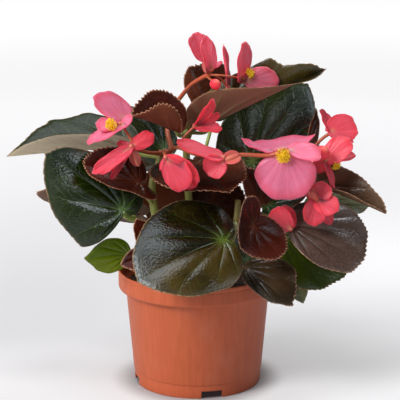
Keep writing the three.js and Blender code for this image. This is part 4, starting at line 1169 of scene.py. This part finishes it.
class BEGONIA_OT_stems(bpy.types.Operator):
    """Build the stems with their leaf stalks and scales"""
    bl_idname = 'begonia.stems'
    bl_label = 'Stems'

    def execute(self, context):
        settings = context.scene.begonia_leaves
        finishes = [
            stalk_finish('green', (.27, .36, .06), (.30, .22, .06)),
            stalk_finish('scale', (.42, .44, .16), (.54, .52, .28), .5),
            stalk_finish('leaf', (.30, .32, .06), (.34, .46, .10)),
        ]
        for name, stem in STEMS.items():
            path = spline(stem['path'])
            skins = [tube_skin(path, swollen(path, stem['radius'], stem['leaves'].values()), 20)]
            for leaf, share in stem['leaves'].items():
                curve = leaf_stalk(path, share, leaf_blade(leaf, settings))
                thin = 1.05 - .2 * np.sin(np.linspace(0, math.pi, len(curve)))
                thick = LEAVES[leaf].get('stalk', STALK_RADIUS)
                skins.append(tube_skin(curve, thick * thin, finish=LEAF_STALK))
                low = int(share * (len(path) - 1))
                ahead = unit(path[min(low + 1, len(path) - 1)] - path[low - 1])
                away = unit(np.cross(ahead, (math.sin(share * 40), math.cos(share * 40), .3)))
                skins.append(joint_scale(path[low] + away * stem['radius'] * .9, ahead, away))
            for radius, points in stem.get('stalks', ()):
                skins.append(tube_skin(spline(points), radius, 12, finish=LEAF_STALK))
            make_piece(f'stalk_{name}', f'stem_{name}', skins, finishes)
        return {'FINISHED'}


class BEGONIA_OT_sprays(bpy.types.Operator):
    """Build the orange flower stalks"""
    bl_idname = 'begonia.sprays'
    bl_label = 'Flower stalks'

    def execute(self, context):
        colour = context.scene.begonia_blooms.stalk
        finish = stalk_finish('orange', colour, shade(colour, (1.1, .8, .9)))
        for name, parts in SPRAYS.items():
            skins = []
            for radius, points in parts:
                path = spline(points)
                ends = np.abs(np.linspace(-1, 1, len(path))) ** 6
                skins.append(tube_skin(path, radius * (.94 + .3 * ends), 16))
            make_piece(f'spray_{name}', f'stalks_{name}', skins, [finish])
        return {'FINISHED'}


class BEGONIA_OT_blooms(bpy.types.Operator):
    """Build the blooms with their tepals, seed cases and stamens, and the buds"""
    bl_idname = 'begonia.blooms'
    bl_label = 'Blooms'

    def execute(self, context):
        settings = context.scene.begonia_blooms
        petals = {kind: tepal_finish(f'Tepal {kind}', getattr(settings, kind))
                  for kind in ('coral', 'painted_light_coral', 'pink')}
        peach, yellow = stalk_finish('seed case', (.66, .19, .11), (.64, .07, .075), .4), anther_finish()
        for seed, (name, bloom) in enumerate(BLOOMS.items()):
            centre = np.array(bloom['centre'], float)
            skins = [ball_skin(centre, np.eye(3) * HEART_RADIUS, finish=FLESH, sides=16, rings=9)]
            for number, tepal in enumerate(bloom['tepals']):
                blade = Blade(TEPAL_DEFAULTS, {'base': centre, **tepal}, tepal_ruffle(seed * 10 + number))
                skins.append(blade_skin(blade, settings.thickness / MM, *TEPAL_GRID))
                if np.linalg.norm(blade.base - centre) > .5:
                    neck = [centre, (centre + blade.base) / 2, blade.base]
                    skins.append(tube_skin(neck, NECK_RADIUS, 10, finish=FLESH))
            if 'ovary' in bloom:
                skins += seed_case(*bloom['ovary'], seed)
            finishes = [petals[bloom.get('colour', 'coral')], peach]
            make_piece(f'petals_{name}', f'bloom_{name}', skins, finishes)
            if 'stamens' in bloom:
                at, radius = np.array(bloom['stamens'][0], float), bloom['stamens'][1]
                axis = unit(at - centre + (0, -3, 0))
                make_piece(f'anthers_{name}', f'stamens_{name}', stamens(at, radius, axis, seed), [yellow])
        for name, bud in BUDS.items():
            skin = bud_skin(np.array(bud['at'], float), bud['radius'])
            make_piece(f'closed_{name}', f'bud_{name}', [skin], [petals['coral']])
        return {'FINISHED'}


class BEGONIA_OT_pot(bpy.types.Operator):
    """Build the pot and the soil in it"""
    bl_idname = 'begonia.pot'
    bl_label = 'Pot and soil'

    def execute(self, context):
        settings = context.scene.begonia_pot
        make_piece('nursery_pot', 'pot', [pot_skin(settings)], [plastic_finish(settings.plastic)])
        make_piece('peat', 'soil', soil_skins(settings), [soil_finish(settings.soil)])
        return {'FINISHED'}


def place_lamp(name, at, sides, watts, tint, turn, lights):
    """An area lamp aimed at the middle of the plant."""
    lamp = bpy.data.lights.new(name, 'AREA')
    lamp.shape, lamp.energy, lamp.color = 'RECTANGLE', watts, tint
    lamp.size, lamp.size_y = sides
    box = bpy.data.objects.new(name, lamp)
    box.location = at
    box.visible_diffuse, box.visible_glossy = lights != 'gloss', lights != 'colour'
    aim = mathutils.Vector((0, 0, .15)) - box.location
    spin = mathutils.Quaternion((0, 0, 1), math.radians(turn))
    box.rotation_euler = (aim.to_track_quat('-Z', 'Y') @ spin).to_euler()
    bpy.context.scene.collection.objects.link(box)


def place_camera(distance, elevation):
    """A camera with the photo's field of view, raised by its height angle."""
    camera = bpy.data.objects.new('camera', bpy.data.cameras.new('camera'))
    camera.data.sensor_width = SENSOR
    camera.data.lens = SENSOR * FOCAL_LENGTH / PHOTO_SIDE
    camera.data.clip_end = 40
    back = mathutils.Vector((0, -math.cos(elevation), math.sin(elevation)))
    camera.location = mathutils.Vector(AIM) + back * distance
    camera.rotation_euler = (-back).to_track_quat('-Z', 'Y').to_euler()
    bpy.context.scene.collection.objects.link(camera)
    bpy.context.scene.camera = camera


class BEGONIA_OT_studio(bpy.types.Operator):
    """Build the floor, the lights and the camera"""
    bl_idname = 'begonia.studio'
    bl_label = 'Studio'

    def execute(self, context):
        settings = context.scene.begonia_studio
        mesh = bpy.data.meshes.new('floor')
        corners = [(x * FLOOR_REACH, y * FLOOR_REACH, 0) for x, y in ((-1, -1), (1, -1), (1, 1), (-1, 1))]
        mesh.from_pydata(corners, [], [(0, 1, 2, 3)])
        mesh.materials.append(floor_finish(settings.floor))
        floor = bpy.data.objects.new('floor', mesh)
        context.scene.collection.objects.link(floor)
        world = bpy.data.worlds.new('White room')
        world.use_nodes = True
        feed(world.node_tree.nodes['Background'], {'Color': (.96, .97, 1, 1), 'Strength': .1})
        context.scene.world = world
        for name, lamp in LAMPS.items():
            place_lamp(name, *lamp)
        place_camera(settings.distance, settings.elevation)
        context.scene.view_settings.view_transform = 'Standard'
        return {'FINISHED'}


class BEGONIA_PT_panel(bpy.types.Panel):
    """Sizes, colours and parts of the begonia"""
    bl_label = 'Potted begonia'
    bl_idname = 'BEGONIA_PT_panel'
    bl_space_type = 'VIEW_3D'
    bl_region_type = 'UI'
    bl_category = 'Begonia'

    def draw(self, context):
        for slot, kind in SETTINGS.items():
            for key in kind.__annotations__:
                self.layout.prop(getattr(context.scene, slot), key)
        for operator in OPERATORS:
            self.layout.operator(operator.bl_idname)


SETTINGS = {
    'begonia_pot': PotSettings,
    'begonia_leaves': LeafSettings,
    'begonia_blooms': BloomSettings,
    'begonia_studio': StudioSettings,
}
OPERATORS = (BEGONIA_OT_leaves, BEGONIA_OT_stems, BEGONIA_OT_sprays, BEGONIA_OT_blooms, BEGONIA_OT_pot,
             BEGONIA_OT_studio)


def register():
    """Adds the settings, operators and panel."""
    for made in (*SETTINGS.values(), *OPERATORS, BEGONIA_PT_panel):
        bpy.utils.register_class(made)
    for slot, kind in SETTINGS.items():
        setattr(bpy.types.Scene, slot, bpy.props.PointerProperty(type=kind))


def unregister():
    """Takes them away again."""
    for slot in SETTINGS:
        delattr(bpy.types.Scene, slot)
    for made in (BEGONIA_PT_panel, *OPERATORS, *SETTINGS.values()):
        bpy.utils.unregister_class(made)


def main():
    """Builds the plant, the pot and the studio."""
    register()
    for operator in OPERATORS:
        group, name = operator.bl_idname.split('.')
        getattr(getattr(bpy.ops, group), name)()
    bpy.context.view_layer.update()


if __name__ == '__main__':
    main()
